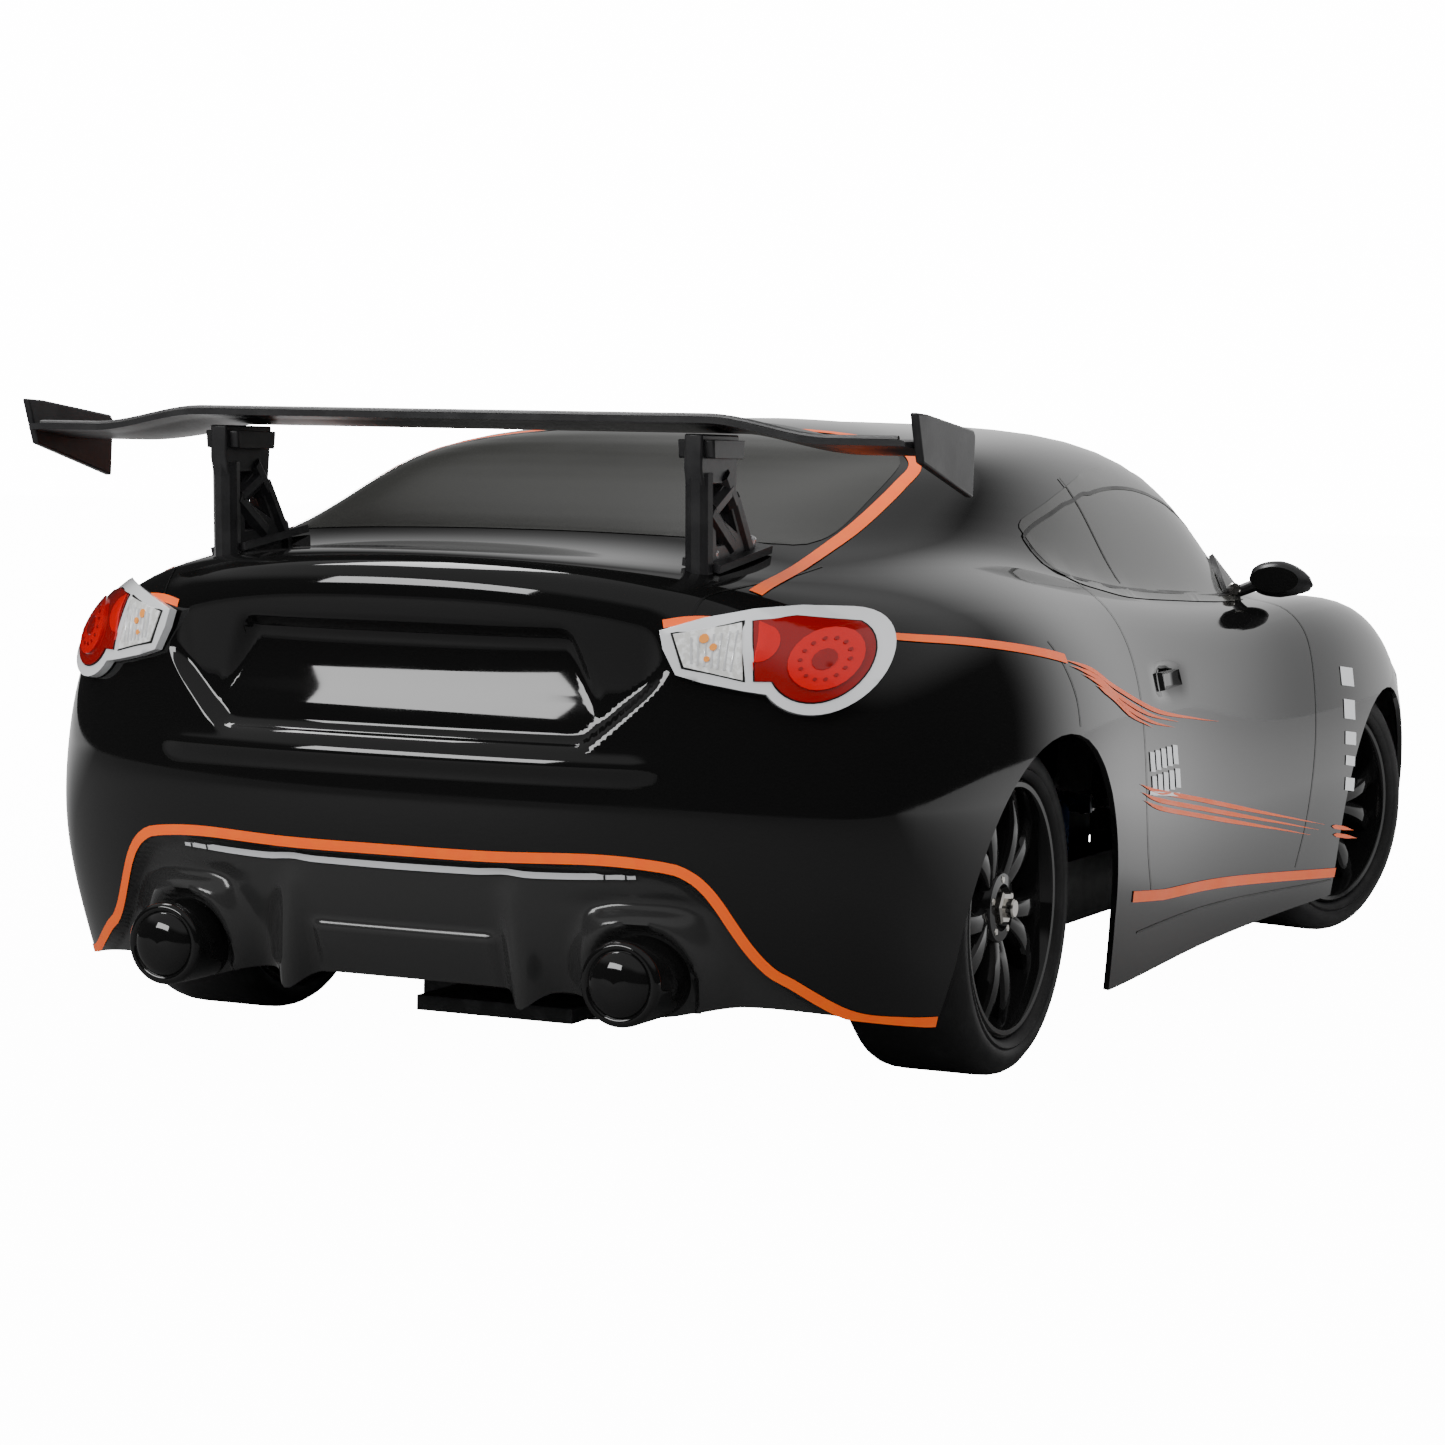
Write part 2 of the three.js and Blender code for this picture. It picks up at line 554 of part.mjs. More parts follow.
// A truss stay from the boot lid up to the blade, drawn in the plane of the car's middle.
function wingStay() {
  const top = WING_Z - PLAY;
  const outline = [
    [-191.5, top], [-175, top], [-176, 110], [-169.5, 103], [-166, 96], [-186, 94], [-189, 108], [-191.5, 116],
  ];
  const stay = slab(outline, "y", STAY_Y - STAY_THICK / 2, STAY_Y + STAY_THICK / 2);
  const holes = [
    [[-187.5, 113], [-182, 113], [-187, 109.5]],
    [[-179.5, 111], [-175.5, 104.5], [-185, 108]],
    [[-184.5, 105.5], [-178.5, 102.3], [-184, 102]],
  ];
  const lattice = holes.map((hole) => slab(hole, "y", STAY_Y - STAY_THICK, STAY_Y + STAY_THICK));
  const foot = box([-187, -164], [STAY_Y - 4, STAY_Y + 4], [94, 99]);
  const head = box([-192, -174], [STAY_Y - 4, STAY_Y + 4], [top - 2.5, top]);
  return union(cut(stay, ...lattice), foot, head);
}

function endplate() {
  const outline = [[-193.5, 126.4], [-164, 123.7], [-164.5, 111.5], [-190, 117.6]];
  return slab(outline, "y", WING_HALF_SPAN + PLAY, WING_HALF_SPAN + PLAY + ENDPLATE_THICK);
}

// the wing stands on the deck, wherever the tail's size puts it
const deck = [REFERENCE.tail, 0, 100];
const wing = groupAt(shell, place(deck).map((value, k) => value - deck[k]));
add(wing, "wing_blade", wingBlade(), SATIN_BLACK);
for (const [name, side] of SIDES) {
  const half = groupAt(wing, [0, 0, 0], [1, side, 1]);
  const stay = cut(wingStay(), OUTSIDE.translate(-wing.position.x, 0, -wing.position.z));
  add(half, `wing_stay_${name}`, stay, SATIN_BLACK);
  add(half, `wing_endplate_${name}`, endplate(), SATIN_BLACK);
}

// ---- Chassis ----
// The tub is a floor with side walls and a narrow keel out to both ends. It carries the front
// bulkhead, the lugs of the lower arms, the motor cradles, the rack guides and the front link studs.
function hingeLugs(axleX) {
  const lugs = [];
  for (const [, side] of SIDES) {
    for (const end of [-1, 1]) {
      const x = span(axleX + end * (ARM_HALF + SLIDE), axleX + end * (ARM_HALF + SLIDE + 4));
      const y = span(side * (KEEL_HALF - 1), side * (HINGE_Y + 3.5));
      const lug = box(x, y, [GROUND_GAP, HINGE_Z + 4]);
      const bore = PIN_R + PLAY;
      lugs.push(cut(lug, bar([x[0] - 1, side * HINGE_Y, HINGE_Z], [x[1] + 1, side * HINGE_Y, HINGE_Z], bore)));
    }
  }
  return union(...lugs);
}

function linkStuds(axleX, end, y0) {
  const studs = [];
  for (const [, side] of SIDES) {
    const x = axleX + end * LINK_X;
    const y = span(side * y0, side * (HINGE_Y + 2));
    const lug = box(span(x + end * 4, x + end * 7), y, [LINK_Z - 3, LINK_Z + 3]);
    studs.push(union(lug, bar([x + end * 5, side * HINGE_Y, LINK_Z], [x - end * 3, side * HINGE_Y, LINK_Z], STUD_R)));
  }
  return union(...studs);
}

const BULKHEAD = { back: 12.5, front: 16, top: LINK_Z + 4 };

function motorCradle(y) {
  const half = 0.78 * MOTOR_R;
  const cradle = box([MOTOR_X - half, MOTOR_X + half], y, [FLOOR_Z - 0.5, MOTOR_Z - 8]);
  return cut(cradle, bar([MOTOR_X, y[0] - 1, MOTOR_Z], [MOTOR_X, y[1] + 1, MOTOR_Z], MOTOR_R + PLAY, 24));
}

function rackGuide(side) {
  const y = span(side * 14, side * 17);
  const half = RACK_SIDE / 2 + SLIDE;
  const post = box([RACK_X - half - 2.2, FRONT_X - BULKHEAD.back], y, [FLOOR_Z - 0.5, RACK_Z + 6.5]);
  return cut(post, box([RACK_X - half, RACK_X + half], [y[0] - 1, y[1] + 1], [RACK_Z - half - 0.2, RACK_Z + half + 0.2]));
}

function chassisTub() {
  const floor = box(TUB_X, [-TUB_HALF, TUB_HALF], [GROUND_GAP, FLOOR_Z]);
  const keel = box(KEEL_X, [-KEEL_HALF, KEEL_HALF], [GROUND_GAP, FLOOR_Z]);
  const wall = (side) => {
    const y = span(side * TUB_HALF, side * (TUB_HALF - TUB_WALL));
    return box(TUB_X, y, [GROUND_GAP, TUB_WALL_Z]);
  };
  const bulkhead = cut(
    box(
      [FRONT_X - BULKHEAD.back, FRONT_X + BULKHEAD.front],
      [-KEEL_HALF + 0.5, KEEL_HALF - 0.5],
      [FLOOR_Z - 0.5, BULKHEAD.top],
    ),
    box(
      [FRONT_X - BULKHEAD.back - 1, FRONT_X + BULKHEAD.front + 1],
      [4 - KEEL_HALF, KEEL_HALF - 4],
      [FLOOR_Z + 6, BULKHEAD.top - 6],
    ),
  );
  return union(
    floor,
    keel,
    wall(1),
    wall(-1),
    bulkhead,
    hingeLugs(FRONT_X),
    hingeLugs(REAR_X),
    linkStuds(FRONT_X, 1, KEEL_HALF - 1),
    motorCradle([-26, -21]),
    motorCradle([8, 13]),
    rackGuide(1),
    rackGuide(-1),
  );
}

const chassis = groupAt(car);
add(chassis, "chassis_tub", chassisTub(), NYLON);

// The gearbox case around the spool and the layshaft, open below, with bores for both shafts.
function rearGearbox() {
  const spool = tipRadius(SPOOL_TEETH) + 1;
  const lay = tipRadius(LAY_TEETH) + 0.8;
  const half = GEAR_WIDTH / 2 + 2;
  const back = REAR_X - spool - 2;
  const front = LAY_X + lay + 2;
  const top = LAY_Z + 12;
  const outline = [
    [back, FLOOR_Z + PLAY], [front - 4, FLOOR_Z + PLAY], [front, FLOOR_Z + 14], [front, top], [back + 12, top],
    [back, top - 12],
  ];
  const body = slab(outline, "y", -GEARBOX_HALF, GEARBOX_HALF);
  const through = GEARBOX_HALF + 2;
  const made = cut(
    body,
    bar([REAR_X, -half, AXLE_Z], [REAR_X, half, AXLE_Z], spool, 32),
    bar([LAY_X, -half, LAY_Z], [LAY_X, half, LAY_Z], lay, 20),
    box([REAR_X - 10, REAR_X + 10], [-half, half], [FLOOR_Z, AXLE_Z]),
    bar([REAR_X, -through, AXLE_Z], [REAR_X, through, AXLE_Z], CUP_R + SLIDE, 16),
    bar([LAY_X, -through, LAY_Z], [LAY_X, through, LAY_Z], AXLE_R + SLIDE, 12),
    bar([MOTOR_X, -through, MOTOR_Z], [MOTOR_X, through, MOTOR_Z], MOTOR_R + 0.6, 32),
  );
  return union(made, linkStuds(REAR_X, -1, GEARBOX_HALF - 1));
}

add(chassis, "rear_gearbox", rearGearbox(), NYLON);

// A shock tower: a plate with two studs for the dampers and two posts for the shell magnets.
function shockTower(dir, axleX, postTop) {
  const x0 = axleX + dir * TOWER_X;
  const { y: top, z: eyeZ } = DAMPER_TOP;
  const right = [
    [12, FLOOR_Z + PLAY], [14, eyeZ - 26], [top + 4, eyeZ - 10], [top + 6, eyeZ + 3], [top - 4, eyeZ + 6],
    [Math.min(20, top - 16), eyeZ - 4],
  ];
  const outline = [...right, ...right.map(([y, z]) => [-y, z]).reverse()];
  const x = span(x0, x0 + dir * TOWER_THICK);
  const parts = [slab(outline, "x", ...x)];
  for (const [, side] of SIDES) {
    const y = side * DAMPER_TOP.y;
    parts.push(bar([x0 + dir, y, eyeZ], [x0 - dir * (TOWER_X - DAMPER_X + 2.5), y, eyeZ], STUD_R));
    const post = x0 + (dir * TOWER_THICK) / 2;
    parts.push(bar([post, side * POST_Y, eyeZ - 4], [post, side * POST_Y, postTop], POST_R));
    parts.push(bar([post, side * POST_Y, postTop - 3], [post, side * POST_Y, postTop], MAGNET_R, 12));
  }
  return union(...parts);
}

const bonnetZ = place([REFERENCE.front + TOWER_X, POST_Y, 80.5])[2];
const deckZ = place([REFERENCE.rear - TOWER_X, POST_Y, 99.5])[2];
add(chassis, "front_shock_tower", shockTower(1, FRONT_X, bonnetZ - POST_TOP_GAP), NYLON);
add(chassis, "rear_shock_tower", shockTower(-1, REAR_X, deckZ - POST_TOP_GAP), NYLON);

const motorCan = bar(
  [MOTOR_X, MOTOR_FACE_Y - MOTOR_LENGTH, MOTOR_Z],
  [MOTOR_X, MOTOR_FACE_Y, MOTOR_Z],
  MOTOR_R,
  28,
);
add(chassis, "motor_can", motorCan, ORANGE_ALUMINIUM);

const ON_FLOOR = FLOOR_Z + PLAY;
const BATTERY_Y = [BATTERY_WALL_GAP - TUB_HALF, BATTERY_WALL_GAP - TUB_HALF + BATTERY_WIDTH];
const BATTERY_TOP = ON_FLOOR + BATTERY_HEIGHT;
add(chassis, "battery_pack", box(BAY_X, BATTERY_Y, [ON_FLOOR, BATTERY_TOP]), WRAP_BLUE);

function batteryStrap() {
  const middle = (BAY_X[0] + BAY_X[1]) / 2;
  const x = [middle - 7, middle + 7];
  const y = [BATTERY_Y[0] - PLAY - 1, BATTERY_Y[1] + PLAY + 1];
  const outer = box(x, y, [ON_FLOOR, BATTERY_TOP + PLAY + 1.6]);
  const hollow = box([x[0] - 1, x[1] + 1], [y[0] + 1, y[1] - 1], [FLOOR_Z, BATTERY_TOP + PLAY]);
  return cut(outer, hollow);
}
add(chassis, "battery_strap", batteryStrap(), NYLON);

// the speed controller and the receiver stand beside the battery
const besideY = BATTERY_Y[1] + 9;
const escX = [BAY_X[0] + 28, BAY_X[0] + 66];
const receiverX = [BAY_X[1] - 20, BAY_X[1] + 8];
const speedController = box(escX, [besideY, TUB_HALF - TUB_WALL - 4.5], [ON_FLOOR, FLOOR_Z + ESC_HEIGHT]);
const receiver = box(receiverX, [besideY + 4, besideY + 26], [ON_FLOOR, FLOOR_Z + RECEIVER_HEIGHT]);
add(chassis, "speed_controller", speedController, ORANGE_ALUMINIUM);
add(chassis, "receiver", receiver, NYLON);

const servoCase = union(
  box([SERVO_FRONT - SERVO_LENGTH, SERVO_FRONT], SERVO_Y, [ON_FLOOR, ON_FLOOR + SERVO_HEIGHT]),
  bar([SERVO_FRONT - 1, 0, SERVO_AXIS_Z], [SERVO_FRONT + 2.5, 0, SERVO_AXIS_Z], 3),
);
add(chassis, "steering_servo", servoCase, NYLON);

// A soft block behind the nose.
function bumperFoam() {
  const back = KEEL_X[1] + PLAY;
  const outline = [[back, -48], [back + 12, -44], [back + 19, -26], [back + 21, 0]];
  const mirrored = outline.slice(0, 3).map(([x, y]) => [x, -y]);
  return slab([...outline, ...mirrored.reverse()], "z", GROUND_GAP + 5, GROUND_GAP + 24);
}
add(chassis, "bumper_foam", bumperFoam(), FOAM);

// ---- Drivetrain ----
// The spool: a ring gear on a hub whose ends are cups for the driveshafts.
function rearSpool() {
  const hub = cut(
    bar([REAR_X, -CUP_END, AXLE_Z], [REAR_X, CUP_END, AXLE_Z], CUP_R, 16),
    bar([REAR_X, CUP_DEEP, AXLE_Z], [REAR_X, CUP_END + 1, AXLE_Z], CUP_R - CUP_WALL, 12),
    bar([REAR_X, -CUP_END - 1, AXLE_Z], [REAR_X, -CUP_DEEP, AXLE_Z], CUP_R - CUP_WALL, 12),
  );
  return union(gear([REAR_X, -GEAR_WIDTH / 2, AXLE_Z], SPOOL_TEETH, GEAR_WIDTH, LAY_RISE), hub);
}
add(car, "rear_spool", rearSpool(), STEEL);

// A gear whose gap, not its tooth, points at its neighbour.
const gapToward = (angle, teeth) => angle + Math.PI / teeth;

function layshaft() {
  const small = gear([LAY_X, -GEAR_WIDTH / 2, LAY_Z], LAY_TEETH, GEAR_WIDTH, gapToward(LAY_RISE + Math.PI, LAY_TEETH));
  const spur = gear([LAY_X, SPUR_Y, LAY_Z], SPUR_TEETH, GEAR_WIDTH, -MOTOR_DROP);
  const shaft = bar([LAY_X, -GEARBOX_HALF - 1, LAY_Z], [LAY_X, SPUR_Y + GEAR_WIDTH, LAY_Z], AXLE_R);
  return union(small, spur, shaft);
}
add(car, "layshaft", layshaft(), SATIN_BLACK);

function motorPinion() {
  const teeth = gear(
    [MOTOR_X, SPUR_Y, MOTOR_Z],
    PINION_TEETH,
    GEAR_WIDTH,
    gapToward(Math.PI - MOTOR_DROP, PINION_TEETH),
  );
  return union(teeth, bar([MOTOR_X, MOTOR_FACE_Y + PLAY, MOTOR_Z], [MOTOR_X, SPUR_Y + GEAR_WIDTH + 2, MOTOR_Z], 3));
}
add(car, "motor_pinion", motorPinion(), STEEL);

// ---- Steering ----
function steeringRack() {
  const half = RACK_SIDE / 2;
  const x = [RACK_X - half, RACK_X + half];
  const tab = cut(
    box(x, [-4, 4], [RACK_Z, RACK_Z + 12]),
    box([x[0] - 1, x[1] + 1], [-PIN_R - 0.35, PIN_R + 0.35], [RACK_Z + 1.5, RACK_Z + 10]),
  );
  const parts = [box(x, [4 - RACK_HALF, RACK_HALF - 4], [RACK_Z - half, RACK_Z + half]), tab];
  for (const [, side] of SIDES) {
    const y = span(side * (RACK_HALF - 5), side * (RACK_HALF + 3));
    parts.push(box([x[0], x[0] + 1.5], y, [RACK_Z - half, RACK_Z + half]));
    parts.push(bar([x[0] + 1, side * RACK_HALF, RACK_Z], [x[1], side * RACK_HALF, RACK_Z], PIN_R));
  }
  return union(...parts).translate(0, RACK_SHIFT, 0);
}
add(car, "steering_rack", steeringRack(), ALUMINIUM);

function servoHorn() {
  const x = SERVO_FRONT + 2.5 + PLAY;
  const pin = [RACK_SHIFT, SERVO_AXIS_Z + HORN_LIFT];
  return union(
    bar([x, 0, SERVO_AXIS_Z], [x + 2.5, 0, SERVO_AXIS_Z], 4.5, 16),
    bar([x, ...pin], [x + 2.5, ...pin], 2.5),
    bar([x + 1.25, 0, SERVO_AXIS_Z], [x + 1.25, ...pin], 1.25),
    bar([x + 1, ...pin], [RACK_X + 2, ...pin], PIN_R),
  );
}
add(car, "servo_horn", servoHorn(), ALUMINIUM);

// From the rack's end to the knuckle. The outer eye leaves room around its stud, since the knuckle
// swings on an arc that the rod doesn't follow.
function tieRod(side) {
  const inner = [RACK_X + 1, side * RACK_HALF + RACK_SHIFT, RACK_Z];
  const outer = [RACK_X, side * KINGPIN_Y + RACK_SHIFT, RACK_Z];
  const ring = cut(
    bar([outer[0], outer[1], RACK_Z - 2], [outer[0], outer[1], RACK_Z + 2], 4, 16),
    bar([outer[0], outer[1], RACK_Z - 3], [outer[0], outer[1], RACK_Z + 3], PIN_R + 1.1, 12),
  );
  const rod = bar(
    [inner[0], inner[1] + side * 2.6, RACK_Z],
    [outer[0], outer[1] - side * 3.2, RACK_Z],
    1.5,
    8,
  );
  return union(eye(inner, 3.2, PIN_R + 0.4, 3), rod, ring);
}
for (const [name, side] of SIDES) add(car, `tie_rod_${name}`, tieRod(side), STEEL);

// ---- Suspension and wheels ----
function lowerArm() {
  const z0 = HINGE_Z - ARM_THICK / 2;
  const reach = PIN_Y - 5;
  const outline = [
    [-ARM_HALF, HINGE_Y], [ARM_HALF, HINGE_Y], [ARM_HALF, DAMPER_FOOT.y - 2], [10, reach], [-10, reach],
  ];
  const web = slab(outline, "z", z0, z0 + ARM_THICK);
  const window = slab([[-11, 30], [9, 30], [5, reach - 6], [-6, reach - 6]], "z", z0 - 1, z0 + ARM_THICK + 1);
  const foot = [DAMPER_FOOT.y, DAMPER_FOOT.z];
  const ear = box([DAMPER_X - 6.5, DAMPER_X - 3], [foot[0] - 3, foot[0] + 3], [HINGE_Z, foot[1] + 3]);
  const tines = [-1, 1].map((end) => {
    const x = span(end * (CARRIER_HALF + SLIDE), end * 10);
    return box(x, [reach - 1, PIN_Y + 2.5], [z0, z0 + ARM_THICK]);
  });
  return union(
    cut(web, window),
    bar([-ARM_HALF, HINGE_Y, HINGE_Z], [ARM_HALF, HINGE_Y, HINGE_Z], 3),
    bar([-ARM_HALF - 4, HINGE_Y, HINGE_Z], [ARM_HALF + 4, HINGE_Y, HINGE_Z], PIN_R),
    bar([-9, PIN_Y, HINGE_Z], [9, PIN_Y, HINGE_Z], PIN_R),
    ear,
    bar([DAMPER_X - 5, ...foot], [DAMPER_X + 2.5, ...foot], STUD_R),
    ...tines,
  );
}

function hingeBarrel() {
  return eye([0, PIN_Y, HINGE_Z], 4, PIN_R + PLAY, 2 * CARRIER_HALF);
}

function linkStud() {
  return bar([LINK_X - 5, PIN_Y, LINK_Z], [LINK_X + 2.5, PIN_Y, LINK_Z], STUD_R);
}

const boreClear = () => bar([-10, PIN_Y, HINGE_Z], [10, PIN_Y, HINGE_Z], PIN_R + PLAY);

// The front carrier is a C that holds the knuckle between two kingpin lugs.
function frontCarrier() {
  const back = box([-CARRIER_HALF, CARRIER_HALF], [PIN_Y + 1, PIN_Y + 3.6], [HINGE_Z - 1, KNUCKLE.high + 4]);
  const lugs = [
    [KNUCKLE.low - SLIDE - 3.5, KNUCKLE.low - SLIDE],
    [KNUCKLE.high + SLIDE, KNUCKLE.high + SLIDE + 3.5],
  ].map((z) =>
    cut(
      box([-5, 5], [PIN_Y + 2, KINGPIN_Y + 2.8], z),
      bar([0, KINGPIN_Y, z[0] - 1], [0, KINGPIN_Y, z[1] + 1], PIN_R + PLAY),
    ),
  );
  const neck = box([-CARRIER_HALF, LINK_X - 3], [PIN_Y - 3, PIN_Y + 3.6], [KNUCKLE.high + 2, LINK_Z + 3]);
  const gap = box([LINK_X - 3.2, LINK_X + 4], [PIN_Y - 4, PIN_Y + 5], [LINK_Z - 4.2, LINK_Z + 4]);
  return union(hingeBarrel(), cut(union(back, ...lugs, neck), boreClear(), gap), linkStud());
}

function knuckle() {
  const body = box([-4, 4], [-2.5, 4.5], [KNUCKLE.low, KNUCKLE.high]);
  const arm = box([-STEER_ARM - 3, -4], [-2.2, 2.2], [RACK_Z + 2 + SLIDE, RACK_Z + 6]);
  return union(
    body,
    arm,
    bar([0, 0, KNUCKLE.low - 4], [0, 0, KNUCKLE.high + 4], PIN_R),
    bar([-STEER_ARM, 0, RACK_Z - 2], [-STEER_ARM, 0, RACK_Z + 4], PIN_R),
    bar([0, 4, AXLE_Z], [0, KINGPIN_INSET + 4, AXLE_Z], AXLE_R),
  );
}

function rearCarrier() {
  const inner = PIN_Y + 3;
  const block = box([-CARRIER_HALF, CARRIER_HALF], [inner, inner + 6], [HINGE_Z - 1, LINK_Z - 4.2]);
  const foot = box([-CARRIER_HALF, CARRIER_HALF], [PIN_Y + 1.5, inner + 1], [HINGE_Z - 1, HINGE_Z + 4]);
  const neck = box([-CARRIER_HALF, LINK_X - 3.2], [PIN_Y - 3, inner + 4], [LINK_Z - 6, LINK_Z + 3]);
  const bore = bar([0, PIN_Y, AXLE_Z], [0, inner + 10, AXLE_Z], AXLE_R + SLIDE);
  return union(hingeBarrel(), cut(union(block, foot, neck), boreClear(), bore), linkStud());
}

function upperLink() {
  return union(
    eye([LINK_X, HINGE_Y, LINK_Z], 3.2, 1.7, 4),
    eye([LINK_X, PIN_Y, LINK_Z], 3.2, 1.7, 4),
    bar([LINK_X, HINGE_Y + 2.6, LINK_Z], [LINK_X, PIN_Y - 2.6, LINK_Z], 1.6, 8),
  );
}

// Dampers are drawn hanging straight down from their top eye at the origin and tilted by their group.
function damperBody() {
  const can = cut(bar([0, 0, -30], [0, 0, -4.5], DAMPER_R, 12), bar([0, 0, -31], [0, 0, -9], ROD_R + 0.4, 8));
  return union(can, eye([0, 0, 0], 3.2, 1.7, 4), bar([0, 0, -5], [0, 0, -2.4], 2.4));
}

function damperRod() {
  const foot = -DAMPER_SPAN;
  return union(
    bar([0, 0, foot + 2.4], [0, 0, -19], ROD_R, 8),
    bar([0, 0, foot + 4.5], [0, 0, foot + 6.5], DAMPER_R, 12),
    bar([0, 0, foot + 2.4], [0, 0, foot + 5], 2.2),
    eye([0, 0, foot], 3.2, 1.9, 4),
  );
}

// A driveshaft with a ball at each end, between the spool's cup and the stub axle's cup.
function driveshaft() {
  return union(
    ball([0, BONE.inner, AXLE_Z], BALL_R),
    ball([0, BONE.outer, AXLE_Z], BALL_R),
    bar([0, BONE.inner, AXLE_Z], [0, BONE.outer, AXLE_Z], BONE_R),
  );
}

// Wheels are drawn around the Y axis through the wheel's middle.
function ringAroundAxle(profile, sides) {
  const outline = profile.map(([r, y]) => new THREE.Vector2(r, y));
  outline.push(outline[0].clone());
  return solid(new THREE.LatheGeometry(outline, sides));
}

function tyre() {
  const half = TYRE_WIDTH / 2;
  const seat = RIM_R + PLAY;
  const bulge = (seat + TYRE_R) / 2;
  return ringAroundAxle(
    [
      [seat, -half + 1.5], [bulge, -half], [TYRE_R - 1, -half + 2], [TYRE_R, -half + 6], [TYRE_R, half - 6],
      [TYRE_R - 1, half - 2], [bulge, half], [seat, half - 1.5],
    ],
    24,
  );
}

// One Y-shaped spoke, from the hub out to the barrel, pointing up.
function spoke() {
  const reach = RIM_R - 1.6;
  const outline = [
    [-2.2, HUB_R - 2], [2.2, HUB_R - 2], [2.4, 12], [7.6, reach], [4, reach], [0, 15.5], [-4, reach], [-7.6, reach],
    [-2.4, 12],
  ];
  return slab(outline, "y", RIM_HALF - 6, RIM_HALF - 2);
}

function rim(driven) {
  const half = RIM_HALF;
  const inner = RIM_R - RIM_WALL;
  const barrel = ringAroundAxle([[inner, -half], [RIM_R, -half], [RIM_R, half], [inner + 0.6, half]], 24);
  const parts = [barrel];
  for (let i = 0; i < SPOKES; i++) parts.push(spoke().rotate(0, (360 / SPOKES) * i, 0));
  const hubInner = AXLE_R - KINGPIN_INSET + 3;
  parts.push(bar([0, hubInner + 1, 0], [0, half - 1.5, 0], HUB_R, 12));
  if (!driven) {
    const bore = bar([0, hubInner, 0], [0, 4.5, 0], AXLE_R + SLIDE, 8);
    return cut(union(...parts), bore);
  }
  // the stub axle through the rear carrier, with its cup for the driveshaft
  const cupBack = BONE.outer - 4 - WHEEL_Y;
  const cupEnd = PIN_Y + 2.4 - WHEEL_Y;
  const cup = cut(
    bar([0, cupBack, 0], [0, cupEnd, 0], CUP_R, 16),
    bar([0, cupBack - 1, 0], [0, cupEnd - 1.2, 0], CUP_R - CUP_WALL, 12),
  );
  return union(...parts, cup, bar([0, cupEnd - 0.5, 0], [0, hubInner + 2, 0], AXLE_R));
}

const ENDS = [
  ["front", 1, FRONT_X],
  ["rear", -1, REAR_X],
];
for (const [end, dir, axleX] of ENDS) {
  for (const [name, side] of SIDES) {
    const label = `${end}_${name}`;
    const corner = groupAt(car, [axleX, 0, 0], [dir, side, 1]);
    add(corner, `lower_arm_${label}`, lowerArm(), NYLON);
    add(corner, `upper_link_${label}`, upperLink(), STEEL);
    const damper = groupAt(corner, [DAMPER_X, DAMPER_TOP.y, DAMPER_TOP.z]);
    damper.rotation.x = DAMPER_TILT;
    add(damper, `damper_body_${label}`, damperBody(), ALUMINIUM);
    add(damper, `damper_rod_${label}`, damperRod(), NYLON);
    let hub = groupAt(corner, [0, KINGPIN_Y, 0]);
    if (end === "front") {
      add(corner, `carrier_${label}`, frontCarrier(), NYLON);
      hub.rotation.z = -side * REST_STEER;
      add(hub, `knuckle_${label}`, knuckle(), NYLON);
    } else {
      add(corner, `carrier_${label}`, rearCarrier(), NYLON);
      add(corner, `driveshaft_${name}`, driveshaft(), STEEL);
    }
    const wheel = groupAt(hub, [0, KINGPIN_INSET, AXLE_Z]);
    add(wheel, `rim_${label}`, rim(end === "rear"), GLOSS_BLACK);
    add(wheel, `tyre_${label}`, tyre(), RUBBER);
  }
}

export default car;
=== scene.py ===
"""The looks of a 1/10 scale drift car: lexan coupe shell, wing, wheels and the chassis under the shell.

Lengths are millimetres in the row frame (+X forward, +Y left, +Z up) until make() turns them to metres.
Side pieces are drawn for the left side and mirrored.
"""

import math

import bmesh
import bpy
import numpy as np
from mathutils import Matrix, Vector
from mathutils.bvhtree import BVHTree
from mathutils.geometry import delaunay_2d_cdt
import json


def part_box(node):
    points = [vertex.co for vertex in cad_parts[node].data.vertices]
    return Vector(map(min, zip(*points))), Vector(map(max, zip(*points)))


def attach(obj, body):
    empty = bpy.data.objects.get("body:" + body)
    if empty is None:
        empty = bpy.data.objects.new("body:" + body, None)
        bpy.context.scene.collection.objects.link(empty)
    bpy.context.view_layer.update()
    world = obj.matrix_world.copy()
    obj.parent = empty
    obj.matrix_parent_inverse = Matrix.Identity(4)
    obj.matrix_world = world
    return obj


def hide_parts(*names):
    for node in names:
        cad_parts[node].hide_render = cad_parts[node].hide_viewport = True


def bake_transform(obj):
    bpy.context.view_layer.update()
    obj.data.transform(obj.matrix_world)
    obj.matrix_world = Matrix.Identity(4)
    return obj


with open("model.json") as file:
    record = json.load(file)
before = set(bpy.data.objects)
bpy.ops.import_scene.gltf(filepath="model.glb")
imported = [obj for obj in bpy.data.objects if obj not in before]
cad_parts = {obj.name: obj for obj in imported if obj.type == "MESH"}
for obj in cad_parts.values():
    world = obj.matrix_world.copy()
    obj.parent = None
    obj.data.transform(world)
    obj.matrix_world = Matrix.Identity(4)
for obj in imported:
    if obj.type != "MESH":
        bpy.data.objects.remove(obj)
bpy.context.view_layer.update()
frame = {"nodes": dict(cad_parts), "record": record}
MM = 0.001
SIDES = (("left", 1), ("right", -1))

